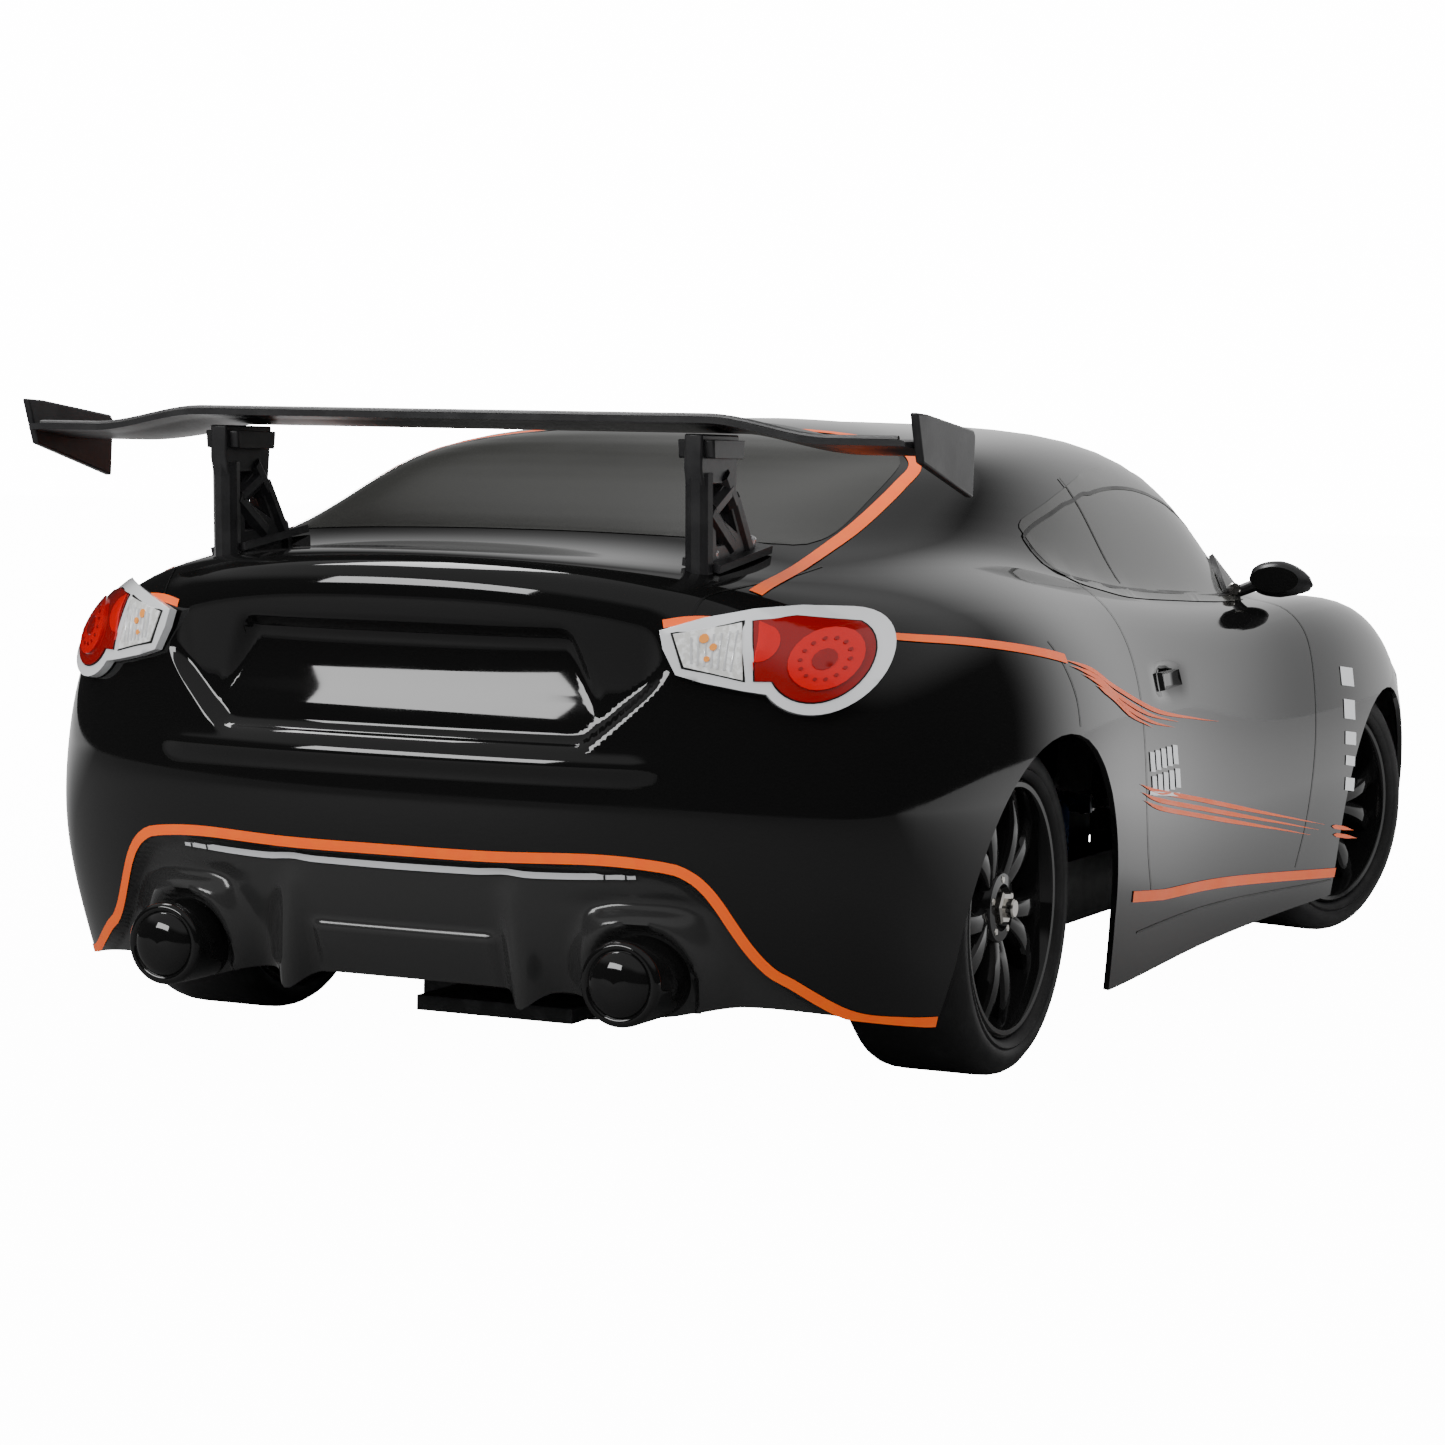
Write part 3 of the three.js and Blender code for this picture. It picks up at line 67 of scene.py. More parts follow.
# Sizes shared with the CAD parts
REAR_X, FRONT_X = -129.5, 127.5
AXLE_Z = 32.5
WHEEL_Y, KINGPIN_Y = 79.5, 65.5
REST_STEER = math.radians(17)
TYRE_R, TYRE_WIDTH = 32.5, 26
RIM_R, RIM_HALF = 25, 12
SHELL_WALL = 1.2
REAR_ARCH = {"x": REAR_X + 3, "z": AXLE_Z - 6, "r": 40.0, "spread": 5}
FRONT_ARCH = {"x": FRONT_X + 0.5, "z": AXLE_Z - 8, "r": 38.5, "spread": -1}
DAMPER_TOP, DAMPER_FOOT = (36, 70), (47, 22)  # y, z
DAMPER_X = 16


# ---- Camera ----
def set_camera():
    data = bpy.data.cameras.new("camera")
    camera = bpy.data.objects.new("camera", data)
    bpy.context.scene.collection.objects.link(camera)
    bpy.context.scene.camera = camera
    data.sensor_width, data.lens = 36.0, 88.24
    data.clip_start, data.clip_end = 0.01, 50
    azimuth, elevation, roll = (math.radians(v) for v in (-65.80, 4.246, 1.273))
    back = Vector((
        math.sin(azimuth) * math.cos(elevation),
        -math.cos(azimuth) * math.cos(elevation),
        math.sin(elevation),
    ))
    right = Vector((0, 0, 1)).cross(back).normalized()
    up = back.cross(right)
    rolled_right = math.cos(roll) * right + math.sin(roll) * up
    rolled_up = math.cos(roll) * up - math.sin(roll) * right
    axes = Matrix((rolled_right, rolled_up, back)).transposed()
    camera.matrix_world = Matrix.Translation(Vector((-771.13, -317.55, 117.50)) * MM) @ axes.to_4x4()


set_camera()


# ---- Materials ----
def material(name, color, roughness, metallic=0.0, grain=0.0, grain_size=1.0, spread=0.05, **sockets):
    """A Principled surface whose roughness drifts by `spread`, with a fine bump of `grain` mm."""
    made = bpy.data.materials.new(name)
    made.use_nodes = True
    nodes, links = made.node_tree.nodes, made.node_tree.links
    shader = nodes["Principled BSDF"]
    shader.inputs["Base Color"].default_value = (*color, 1)
    shader.inputs["Metallic"].default_value = metallic
    for socket, value in sockets.items():
        shader.inputs[socket.replace("_", " ")].default_value = value
    place = nodes.new("ShaderNodeTexCoord")
    drift = nodes.new("ShaderNodeTexNoise")
    drift.inputs["Scale"].default_value = 70
    drift.inputs["Detail"].default_value = 4
    links.new(place.outputs["Object"], drift.inputs["Vector"])
    level = nodes.new("ShaderNodeMapRange")
    level.inputs["From Min"].default_value = 0.3
    level.inputs["From Max"].default_value = 0.7
    level.inputs["To Min"].default_value = max(roughness - spread, 0.0)
    level.inputs["To Max"].default_value = roughness + spread
    links.new(drift.outputs["Fac"], level.inputs["Value"])
    links.new(level.outputs["Result"], shader.inputs["Roughness"])
    if grain:
        fine = nodes.new("ShaderNodeTexNoise")
        fine.inputs["Scale"].default_value = 1000 / grain_size
        fine.inputs["Detail"].default_value = 3
        links.new(place.outputs["Object"], fine.inputs["Vector"])
        bump = nodes.new("ShaderNodeBump")
        bump.inputs["Strength"].default_value = 1
        bump.inputs["Distance"].default_value = grain * MM
        links.new(fine.outputs["Fac"], bump.inputs["Height"])
        links.new(bump.outputs["Normal"], shader.inputs["Normal"])
    return made


def tinted(made, color, scale=120, low=0.45, high=0.6):
    """Mixes a second colour into a material by noise, such as dust, scuffs or print grain."""
    nodes, links = made.node_tree.nodes, made.node_tree.links
    shader = nodes["Principled BSDF"]
    place = next(n for n in nodes if n.type == "TEX_COORD")
    noise = nodes.new("ShaderNodeTexNoise")
    noise.inputs["Scale"].default_value = scale
    noise.inputs["Detail"].default_value = 6
    links.new(place.outputs["Object"], noise.inputs["Vector"])
    ramp = nodes.new("ShaderNodeValToRGB")
    ramp.color_ramp.elements[0].position = low
    ramp.color_ramp.elements[0].color = shader.inputs["Base Color"].default_value
    ramp.color_ramp.elements[1].position = high
    ramp.color_ramp.elements[1].color = (*color, 1)
    links.new(noise.outputs["Fac"], ramp.inputs["Fac"])
    links.new(ramp.outputs["Color"], shader.inputs["Base Color"])
    return made


PAINT = material("lexan_black", (0.0045, 0.0045, 0.0045), 0.045, grain=0.004, grain_size=14, spread=0.02)
SMOKE = material("lexan_smoke", (0.028, 0.028, 0.026), 0.10, grain=0.003, grain_size=20, spread=0.02)
INSIDE = material("lexan_inside", (0.03, 0.03, 0.03), 0.45, grain=0.02, grain_size=2)
# the diffuser is the same black lexan as the body; its lighter base colour is a painted reflection of the
# floor
DIFFUSER_PAINTED_REFLECTION = material("lexan_black_painted_reflection", (0.022, 0.022, 0.022), 0.15, grain=0.005, grain_size=9, spread=0.03)
ORANGE = tinted(
    material("decal_orange", (1.0, 0.115, 0.0), 0.4, grain=0.003, grain_size=3), (1.0, 0.13, 0.0), scale=300
)
WHITE = material("decal_white", (0.82, 0.84, 0.86), 0.2, grain=0.003, grain_size=3)
GROOVE = material("groove", (0.002, 0.002, 0.002), 0.35, grain=0.01)
TRIM = material("trim_silver", (0.75, 0.76, 0.78), 0.16, metallic=0.35, grain=0.003, grain_size=4)
CHROME = material("plated_bezel", (0.88, 0.89, 0.91), 0.10, metallic=0.3, grain=0.01, grain_size=3)
RED_LENS = material(
    "lens_red", (0.55, 0.0, 0.0), 0.12, grain=0.03, grain_size=1.2, Coat_Weight=1.0, Coat_Roughness=0.03
)
RED_DEEP = material("lens_red_deep", (0.24, 0.0, 0.0), 0.2, grain=0.03, Coat_Weight=1.0, Coat_Roughness=0.03)
CLEAR_LENS = tinted(
    material("lens_clear", (0.62, 0.62, 0.60), 0.18, grain=0.12, grain_size=0.9, Coat_Weight=1.0),
    (0.85, 0.86, 0.86), scale=900,
)
AMBER = material("lens_amber", (0.85, 0.30, 0.05), 0.25, grain=0.03)
SATIN = tinted(material("moulded_satin", (0.010, 0.010, 0.011), 0.34, grain=0.012, grain_size=0.6),
               (0.016, 0.016, 0.017), scale=200)
NYLON = tinted(material("moulded_nylon", (0.012, 0.012, 0.013), 0.5, grain=0.03, grain_size=0.5),
               (0.024, 0.024, 0.026), scale=240)
RIM_BLACK = material("rim_black", (0.006, 0.006, 0.006), 0.08, grain=0.004, grain_size=4)
RUBBER = tinted(material("tyre_rubber", (0.009, 0.009, 0.0095), 0.55, grain=0.02, grain_size=0.7),
                (0.020, 0.020, 0.021), scale=150, low=0.5, high=0.75)
STEEL = tinted(material("steel", (0.56, 0.56, 0.57), 0.26, metallic=1.0, grain=0.01, grain_size=0.5),
               (0.42, 0.42, 0.44), scale=260)
BRIGHT = material("nickel", (0.86, 0.83, 0.78), 0.14, metallic=1.0, grain=0.01, grain_size=0.8)
ALLOY = tinted(material("alloy", (0.62, 0.63, 0.65), 0.3, metallic=1.0, grain=0.01, grain_size=0.4),
               (0.52, 0.53, 0.56), scale=300)
ORANGE_ALLOY = tinted(material("alloy_orange", (0.75, 0.17, 0.02), 0.3, metallic=1.0, grain=0.01,
                               grain_size=0.4), (0.60, 0.12, 0.015), scale=200)
FOAM = tinted(material("foam", (0.02, 0.02, 0.02), 0.9, grain=0.25, grain_size=0.9), (0.04, 0.04, 0.04),
              scale=900)
WRAP = tinted(material("battery_wrap", (0.012, 0.05, 0.16), 0.3, grain=0.06, grain_size=9),
              (0.016, 0.062, 0.19), scale=90)
COPPER = material("copper", (0.80, 0.32, 0.14), 0.3, metallic=1.0, grain=0.02, grain_size=0.6)


# ---- Mesh helpers ----
def make(name, verts, faces, look, body, slot=None, sharp=35.0):
    """A mesh object from millimetre points, riding on a body. `look` is one material or a list of them."""
    mesh = bpy.data.meshes.new(name)
    mesh.from_pydata([tuple(float(c) * MM for c in v) for v in verts], [], faces)
    for one in look if isinstance(look, list) else [look]:
        mesh.materials.append(one)
    return place(name, mesh, body, slot, sharp)


def place(name, mesh, body, slot=None, sharp=35.0):
    """Puts a mesh in the scene with smooth shading, riding on a body if one is given."""
    mesh.validate()
    piece = bpy.data.objects.new(name, mesh)
    bpy.context.scene.collection.objects.link(piece)
    mesh.shade_smooth()
    mesh.set_sharp_from_angle(angle=math.radians(sharp))
    if body:
        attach(piece, body)
    return piece


def merged(parts):
    """Joins (verts, faces) parts into one."""
    verts, faces = [], []
    for part_verts, part_faces in parts:
        start = len(verts)
        verts += [tuple(v) for v in part_verts]
        faces += [[i + start for i in face] for face in part_faces]
    return verts, faces


def moved(part, matrix):
    """Moves a part by a 4x4 matrix, turning its faces round if the matrix mirrors."""
    verts, faces = part
    turned = [matrix @ Vector(v) for v in verts]
    if matrix.determinant() < 0:
        faces = [face[::-1] for face in faces]
    return turned, faces


MIRROR = Matrix.Scale(-1, 4, Vector((0, 1, 0)))
CAR_MIDDLE = Vector((0, 0, 60))


def sided(part, sign):
    """A left-side part as it is, or its mirror image for the right side."""
    return part if sign > 0 else moved(part, MIRROR)


def strips(rows, count):
    """Quads between closed rows of `count` points, with the first and last row capped."""
    faces = []
    for i in range(rows - 1):
        for k in range(count):
            a, b = i * count + k, i * count + (k + 1) % count
            faces.append([a, b, b + count, a + count])
    faces.append(list(range(count))[::-1])
    faces.append(list(range((rows - 1) * count, rows * count)))
    return faces


def lathe(profile, sides=96):
    """A surface of [radius, y] points turned around the Y axis. The profile runs with -Y on its left."""
    verts, faces = [], []
    count = len(profile)
    for i in range(sides):
        angle = 2 * math.pi * i / sides
        verts += [(r * math.sin(angle), y, r * math.cos(angle)) for r, y in profile]
    for i in range(sides):
        for k in range(count):
            a, b = i * count + k, i * count + (k + 1) % count
            c, d = ((i + 1) % sides) * count + (k + 1) % count, ((i + 1) % sides) * count + k
            faces.append([a, b, c, d])
    return verts, faces


def disc(radius, y0, y1, bevel=0.3, sides=48):
    """A closed round disc along Y with bevelled rims."""
    tiny = 1e-3
    return lathe([(tiny, y0), (radius - bevel, y0), (radius, y0 + bevel), (radius, y1 - bevel),
                  (radius - bevel, y1), (tiny, y1)], sides)


def tube(path, radius, sides=12):
    """A round tube with capped ends along a list of points."""
    points = [Vector(p) for p in path]
    verts = []
    side = None
    for i, point in enumerate(points):
        along = (points[min(i + 1, len(points) - 1)] - points[max(i - 1, 0)]).normalized()
        side = along.orthogonal() if side is None else side - along * side.dot(along)
        side = side.normalized()
        other = along.cross(side)
        for k in range(sides):
            angle = 2 * math.pi * k / sides
            verts.append(point + radius * (math.cos(angle) * side + math.sin(angle) * other))
    return verts, strips(len(points), sides)


def bevelled(piece, width=0.3, segments=2, angle=30):
    """Rounds a piece's edges for good, by `width` mm."""
    bevel = piece.modifiers.new("bevel", "BEVEL")
    bevel.width, bevel.segments = width * MM, segments
    bevel.limit_method, bevel.angle_limit = "ANGLE", math.radians(angle)
    bevel.harden_normals = False
    bake(piece)


def bake(piece):
    """Applies a piece's modifiers."""
    depsgraph = bpy.context.evaluated_depsgraph_get()
    depsgraph.update()
    mesh = bpy.data.meshes.new_from_object(piece.evaluated_get(depsgraph))
    piece.modifiers.clear()
    piece.data = mesh


def smoothstep(a, b, value):
    t = np.clip((np.asarray(value, float) - a) / (b - a), 0, 1)
    return t * t * (3 - 2 * t)


# ---- The skin: the same cubic B-spline cage as the CAD shell ----
# Rings from the skirt up to the roof; each runs from the middle of the tail round the left side to
# the middle of the nose, as [x, half width, z].
CAGE = np.array([
    # skirt edge
    [[-203, 0, 20.5], [-203, 30, 20.5], [-199, 56, 20.5], [-188, 79, 18], [-173, 90.5, 15],
     [-152, 95.5, 13], [-120, 98.5, 12], [-70, 95.5, 10.5], [-15, 93, 11.5], [40, 94.5, 12.5],
     [95, 98, 13], [140, 98, 13], [178, 90, 12], [199, 69, 12], [209, 37, 12], [212, 0, 12]],
    # lower bumper and sill
    [[-209, 0, 31], [-208, 30, 31], [-203, 57, 31], [-191, 82, 29], [-176, 92, 28], [-154, 97.5, 27],
     [-120, 101, 26], [-70, 97, 25], [-15, 93.5, 25], [40, 95.5, 25], [95, 100, 25], [140, 101, 25],
     [180, 93, 23], [201, 71, 21], [212, 38, 20], [215, 0, 20]],
    # bumper
    [[-214, 0, 46], [-213, 30, 46], [-207, 58, 46], [-194, 84.5, 44], [-178, 93.5, 43], [-155, 99, 42],
     [-120, 102.5, 41], [-70, 97.5, 41], [-15, 93.5, 41], [40, 95.5, 41], [95, 101.5, 41],
     [140, 102.5, 40], [181, 94, 37], [202, 72, 34], [213, 38, 32], [216, 0, 32]],
    # waist
    [[-213, 0, 62], [-212, 30, 62], [-206, 58, 62], [-193, 84.5, 60], [-177, 93.5, 59], [-155, 99, 58],
     [-120, 103, 58], [-70, 97.5, 57], [-15, 93, 57], [40, 95, 57], [95, 101.5, 57], [140, 102.5, 56],
     [181, 93, 51], [201, 71, 46], [211, 38, 43], [214, 0, 43]],
    # tail lamps and door handles
    [[-211, 0, 78], [-210, 30, 78], [-204.5, 57, 77], [-192, 82, 75], [-176.5, 91.5, 74],
     [-155, 97.5, 73], [-120, 102, 73], [-70, 96, 71], [-15, 91.8, 70], [40, 93.2, 70], [95, 100, 71],
     [140, 101, 69], [179, 90, 63], [198, 68, 57], [207, 36, 54], [210, 0, 54]],
    # below the shoulder
    [[-211.5, 0, 94], [-210.5, 30, 93], [-203.5, 56, 90], [-190, 76.5, 86.5], [-174.5, 86, 85.5],
     [-153, 92.5, 86], [-118, 97, 85.5], [-70, 92.5, 81.5], [-15, 90.8, 78], [40, 92, 77.5],
     [95, 97.5, 81.5], [138, 97.5, 79], [170, 84.5, 71.5], [188, 63, 66], [199, 35, 63], [202, 0, 63]],
    # boot lip, shoulder and wing crest
    [[-208.5, 0, 100], [-207.5, 29, 99], [-199.5, 52, 96.5], [-186, 68, 93.5], [-170, 77.5, 92.5],
     [-148, 83.5, 93], [-115, 88.5, 92.5], [-70, 88, 88.5], [-15, 88, 83.5], [38, 88.5, 82.5],
     [90, 90, 87.5], [130, 89, 87], [159, 76.5, 80], [175, 57, 75.5], [185, 31, 74], [188, 0, 74]],
    # deck and bonnet
    [[-191, 0, 100], [-190, 27, 99.5], [-184, 47, 98], [-173, 61, 97], [-158, 68.5, 97],
     [-137, 74.5, 97.5], [-105, 80, 97], [-64, 82.5, 92], [-14, 84, 87], [36, 84, 85.5], [80, 81, 86.5],
     [106, 73, 86.5], [127, 60, 86], [138, 43, 85.5], [144, 22, 85.5], [146, 0, 85.5]],
    # foot of the glass
    [[-166, 0, 101.5], [-165, 23, 101.5], [-161, 41, 101.5], [-153, 54.5, 101.8], [-138, 63, 102],
     [-115, 69, 101.8], [-86, 74, 99], [-54, 78, 93.5], [-12, 80, 89], [32, 79.5, 87.3], [62, 77, 88],
     [80, 70, 89.5], [90, 58, 90.5], [95, 42, 91], [98, 22, 91.3], [99, 0, 91.3]],
    # half way up the glass
    [[-131, 0, 112], [-130.5, 22, 112], [-128, 40, 112], [-123, 54.5, 112], [-109, 64, 112],
     [-88, 69, 111.5], [-64, 72, 110], [-37, 74, 107.5], [-5, 75, 105], [25, 75, 103.5], [47, 73, 102.5],
     [62, 66.5, 102.8], [71, 55, 104], [76, 39, 105], [79, 20, 105.5], [80, 0, 105.5]],
    # roof rail
    [[-86, 0, 123.4], [-87, 19, 123.2], [-91, 37, 122.5], [-95, 51, 121], [-85, 61, 120.5],
     [-67, 64.5, 121], [-47, 66, 121.8], [-25, 66.5, 122], [-3, 66, 121.5], [17, 65, 120.3],
     [31, 62.5, 119.2], [40, 56, 119], [45, 45, 120], [48, 31, 120.8], [50, 15, 121.2], [50, 0, 121.2]],
    # roof
    [[-54, 0, 127], [-55, 11, 127], [-56, 25, 126.6], [-55, 36, 126], [-49, 42.5, 125.8], [-39, 45, 126],
     [-28, 46, 126.2], [-15, 46.5, 126.3], [-2, 46, 126.1], [8, 44, 125.6], [15, 40, 125.3],
     [20, 33, 125.4], [23, 25, 125.8], [25, 17, 126], [26, 8, 126.1], [26, 0, 126.1]],
    # middle of the roof
    [[-28 + 2.5 * i, 0, 127.2] for i in range(16)],
])
CAGE_ROWS, CAGE_COLUMNS = len(CAGE) - 1, len(CAGE[0]) - 1


def control_net():
    """The cage with one more ring and column on each side, mirrored past the middle of the car."""
    across = np.array([1, -1, 1])
    net = np.zeros((CAGE_ROWS + 3, CAGE_COLUMNS + 3, 3))
    net[1:-1, 1:-1] = CAGE
    net[1:-1, 0] = CAGE[:, 1] * across
    net[1:-1, -1] = CAGE[:, -2] * across
    net[0] = 2 * net[1] - net[2]
    net[-1] = net[-3] * across
    return net


NET = control_net()


def weights(t):
    s = 1 - t
    return np.array([s**3, 3 * t**3 - 6 * t**2 + 4, 3 * s**3 - 6 * s**2 + 4, t**3]) / 6


def skin(u, v):
    """Points of the left half of the skin, for u from skirt 0 to roof 1 and v from tail 0 to nose 1."""
    row = np.clip(np.floor(u * CAGE_ROWS).astype(int), 0, CAGE_ROWS - 1)
    column = np.clip(np.floor(v * CAGE_COLUMNS).astype(int), 0, CAGE_COLUMNS - 1)
    up, along = weights(u * CAGE_ROWS - row), weights(v * CAGE_COLUMNS - column)
    total = np.zeros(u.shape + (3,))
    for i in range(4):
        for j in range(4):
            total += (up[i] * along[j])[..., None] * NET[row + i, column + j]
    return total


def softplus(value, width):
    return width * np.logaddexp(0, value / width)


def lid_edge(w):
    """Height of the U-shaped crease under the boot lid, at distance w from the middle."""
    return 65.2 + 0.95 * softplus(w - 38, 1.2)


def tail_relief(points):
    """Presses the boot lid, the plate recess and the diffuser into the tail, in place."""
    x, y, z = points[..., 0], points[..., 1], points[..., 2]
    w = np.abs(y)
    back = smoothstep(-172, -190, x) * smoothstep(101, 97, z)
    over = (z - lid_edge(w)) / np.where(w > 38, 1.38, 1.0)
    lid = smoothstep(-0.3, 2.2, over) * smoothstep(94, 74, z) * smoothstep(54, 47, w)
    ledge = np.exp(-(((z - 62.6) / 1.5) ** 2)) * smoothstep(53, 46, w)
    top = 87.3 - z
    side = 34.5 + 0.42 * top - w
    plate = smoothstep(0, 2.8, top) * smoothstep(0, 3.2, side) * smoothstep(18.5, 1.5, top)
    inward = 2.6 * lid - 0.9 * ledge + 3.4 * plate
    # the diffuser lies behind the bumper's edge, with two fins, a centre panel and exhaust housings
    border = bumper_edge(w)
    below = smoothstep(0, 2.2, border - z)
    inward += 2.4 * below
    drop = np.clip((border - z) / 28, 0, 1)
    fin = np.exp(-(((w - 22.5 - 2.5 * drop) / (1.8 + 2.2 * drop)) ** 2)) * smoothstep(0.1, 1.0, drop)
    inward -= 6.0 * fin
    notch = np.exp(-(((w - 22) / 3.2) ** 2)) * smoothstep(9, 1.5, border - z) * below
    inward += 0.9 * notch
    pipe = np.hypot(w - 47.5, (z - 24.5))
    inward -= 3.6 * smoothstep(16, 10, pipe) * below
    inward += 2.4 * smoothstep(10, 8.6, pipe) * below
    hood = np.exp(-(((w - 47.5) / 9) ** 2)) * np.exp(-(((z - 37.5) / 1.7) ** 2))
    inward += 1.8 * hood * below
    panel = smoothstep(20, 18, w) * smoothstep(31.0, 29.6, z) * below
    inward -= 1.3 * panel
    points[..., 0] += back * inward
    # the lower edge hangs down at the fins and the exhausts
    edge = smoothstep(34, 18, z) * back
    hang = 3.4 * np.exp(-(((w - 24.5) / 2.8) ** 2)) + 3.6 * np.exp(-(((w - 48) / 10) ** 2))
    points[..., 2] -= edge * hang


def bumper_edge(w):
    """Height of the bumper's lower border, painted orange, at distance w from the middle."""
    knots_w = [0, 50, 55.5, 59.5, 62.5, 66, 70, 74, 78.5, 82, 95]
    knots_z = [45.6, 45.4, 43.9, 40.6, 36.0, 30.2, 24.9, 21.6, 19.3, 18.2, 15.2]
    return np.mean([np.interp(w + shift, knots_w, knots_z) for shift in (-2, -1, 0, 1, 2)], axis=0)


def handle_relief(points):
    """A shallow dish for the fingers behind each door handle."""
    x, w, z = points[..., 0], np.abs(points[..., 1]), points[..., 2]
    dish = np.exp(-(((x + 38) / 8) ** 4)) * np.exp(-(((z - 72) / 3.6) ** 4))
    points[..., 1] -= np.sign(points[..., 1]) * 1.6 * dish * smoothstep(80, 86, w)


def front_relief(points):
    """The grille opening, the headlamp bowls and the bonnet's crease, guessed for the unseen front."""
    x, w, z = points[..., 0], np.abs(points[..., 1]), points[..., 2]
    front = smoothstep(188, 200, x)
    mouth = smoothstep(48, 44, w) * smoothstep(15.5, 18, z) * smoothstep(37, 34.5, z)
    upper = smoothstep(34, 31, w) * smoothstep(45.5, 47, z) * smoothstep(52.5, 51, z)
    points[..., 0] -= front * (4.0 * mouth + 2.0 * upper)
    bonnet = smoothstep(95, 115, x) * smoothstep(190, 165, x) * smoothstep(72, 76, z)
    points[..., 2] += bonnet * (1.4 * np.exp(-(((w - 30) / 9) ** 2)))


# Rows and columns are finer where the tail has relief
V_STEPS = np.concatenate([np.linspace(0, 0.25, 112), np.linspace(0.25, 0.75, 59)[1:],
                          np.linspace(0.75, 1, 35)[1:]])
U_STEPS = np.concatenate([np.linspace(0, 0.47, 84), np.linspace(0.47, 1, 27)[1:]])


def half_grid():
    u, v = np.meshgrid(U_STEPS, V_STEPS, indexing="ij")
    return skin(u, v)


def surface_tree(grid):
    """A search tree of both halves of a grid of left-half points."""
    rows, columns = grid.shape[:2]
    left = grid.reshape(-1, 3)
    right = left * [1, -1, 1]
    verts = [Vector(p) for p in np.concatenate([left, right])]
    faces = []
    for start, flip in ((0, False), (len(left), True)):
        for i in range(rows - 1):
            for j in range(columns - 1):
                a = start + i * columns + j
                face = [a, a + columns, a + columns + 1, a + 1]
                faces.append(face[::-1] if flip else face)
    return BVHTree.FromPolygons(verts, faces)


PLAIN = half_grid()
DETAILED = PLAIN.copy()
tail_relief(DETAILED)
handle_relief(DETAILED)
front_relief(DETAILED)
SKIN = surface_tree(DETAILED)
PLAIN_SKIN = surface_tree(PLAIN)


def arch_distance(x, z, arch):
    """Distance from a wheel arch's outline, below zero inside the opening."""
    dx, dz = x - arch["x"], z - arch["z"]
    # below the middle of the arc the sides run down to the skirt, leaning by the arch's spread
    reach = arch["r"] - arch["spread"] / arch["z"] * np.minimum(dz, 0)
    return np.where(dz > 0, np.hypot(dx, dz) - arch["r"], np.abs(dx) - reach)


def clipped(verts, faces, distance):
    """Cuts faces along the line where the distance of their corners is zero, and keeps the side above it."""
    verts, kept, crossings = list(verts), [], {}

    def crossing(p, q):
        key = (min(p, q), max(p, q))
        if key not in crossings:
            share = distance[p] / (distance[p] - distance[q])
            verts.append(verts[p] + (verts[q] - verts[p]) * share)
            crossings[key] = len(verts) - 1
        return crossings[key]

    for face in faces:
        made = []
        for p, q in zip(face, face[1:] + face[:1]):
            if distance[p] >= 0:
                made.append(p)
            if (distance[p] >= 0) != (distance[q] >= 0):
                made.append(crossing(p, q))
        if len(made) > 2:
            kept.append(made)
    return verts, kept


def build_shell():
    rows, columns = DETAILED.shape[:2]
    points = DETAILED.reshape(-1, 3)
    distance = np.full(len(points), 10.0)
    for arch in (REAR_ARCH, FRONT_ARCH):
        distance = np.minimum(distance, arch_distance(points[:, 0], points[:, 2], arch))
    distance = np.where(points[:, 1] > KINGPIN_Y, distance, 10.0)
    # a corner too close to the line would leave a sliver
    distance = np.where(np.abs(distance) < 0.05, 0.0, distance)
    quads = []
    for i in range(rows - 1):
        for j in range(columns - 1):
            corner = i * columns + j
            quads.append([corner, corner + columns, corner + columns + 1, corner + 1])
    half_verts, half_faces = clipped(points, quads, distance)
    verts = half_verts + [p * [1, -1, 1] for p in half_verts]
    faces = half_faces + [[p + len(half_verts) for p in face[::-1]] for face in half_faces]
    looks = []
    for face in faces:
        x, y, z = np.mean([verts[p] for p in face], axis=0)
        # faces below the bumper's edge at the tail take the diffuser's lighter colour, a painted reflection
        # of the floor
        looks.append(1 if z < bumper_edge(abs(y)) and x < -172 and abs(y) < 80 else 0)
    shell = make("shell_skin", verts, faces, [PAINT, DIFFUSER_PAINTED_REFLECTION, INSIDE], "shell", "shell_gloss", sharp=180)
    for polygon, look in zip(shell.data.polygons, looks):
        polygon.material_index = look
    sew = bmesh.new()
    sew.from_mesh(shell.data)
    bmesh.ops.remove_doubles(sew, verts=sew.verts, dist=0.02 * MM)
    bmesh.ops.recalc_face_normals(sew, faces=sew.faces)
    sew.to_mesh(shell.data)
    sew.free()
    wall = shell.modifiers.new("wall", "SOLIDIFY")
    wall.thickness, wall.offset = SHELL_WALL * MM, -1
    wall.use_even_offset = False
    wall.material_offset, wall.material_offset_rim = 2, 0
    bake(shell)
    shell.data.set_sharp_from_angle(angle=math.radians(60))
    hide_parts("body_shell")


build_shell()


# ---- Pieces that lie on the skin ----
def on_skin(point, lift=0.0, tree=None):
    """The nearest skin point, lifted along the normal, with that normal."""
    hit, normal, _, _ = (tree or SKIN).find_nearest(Vector(point))
    if normal.dot(hit - CAR_MIDDLE) < 0:
        normal = -normal
    return hit + normal * lift, normal


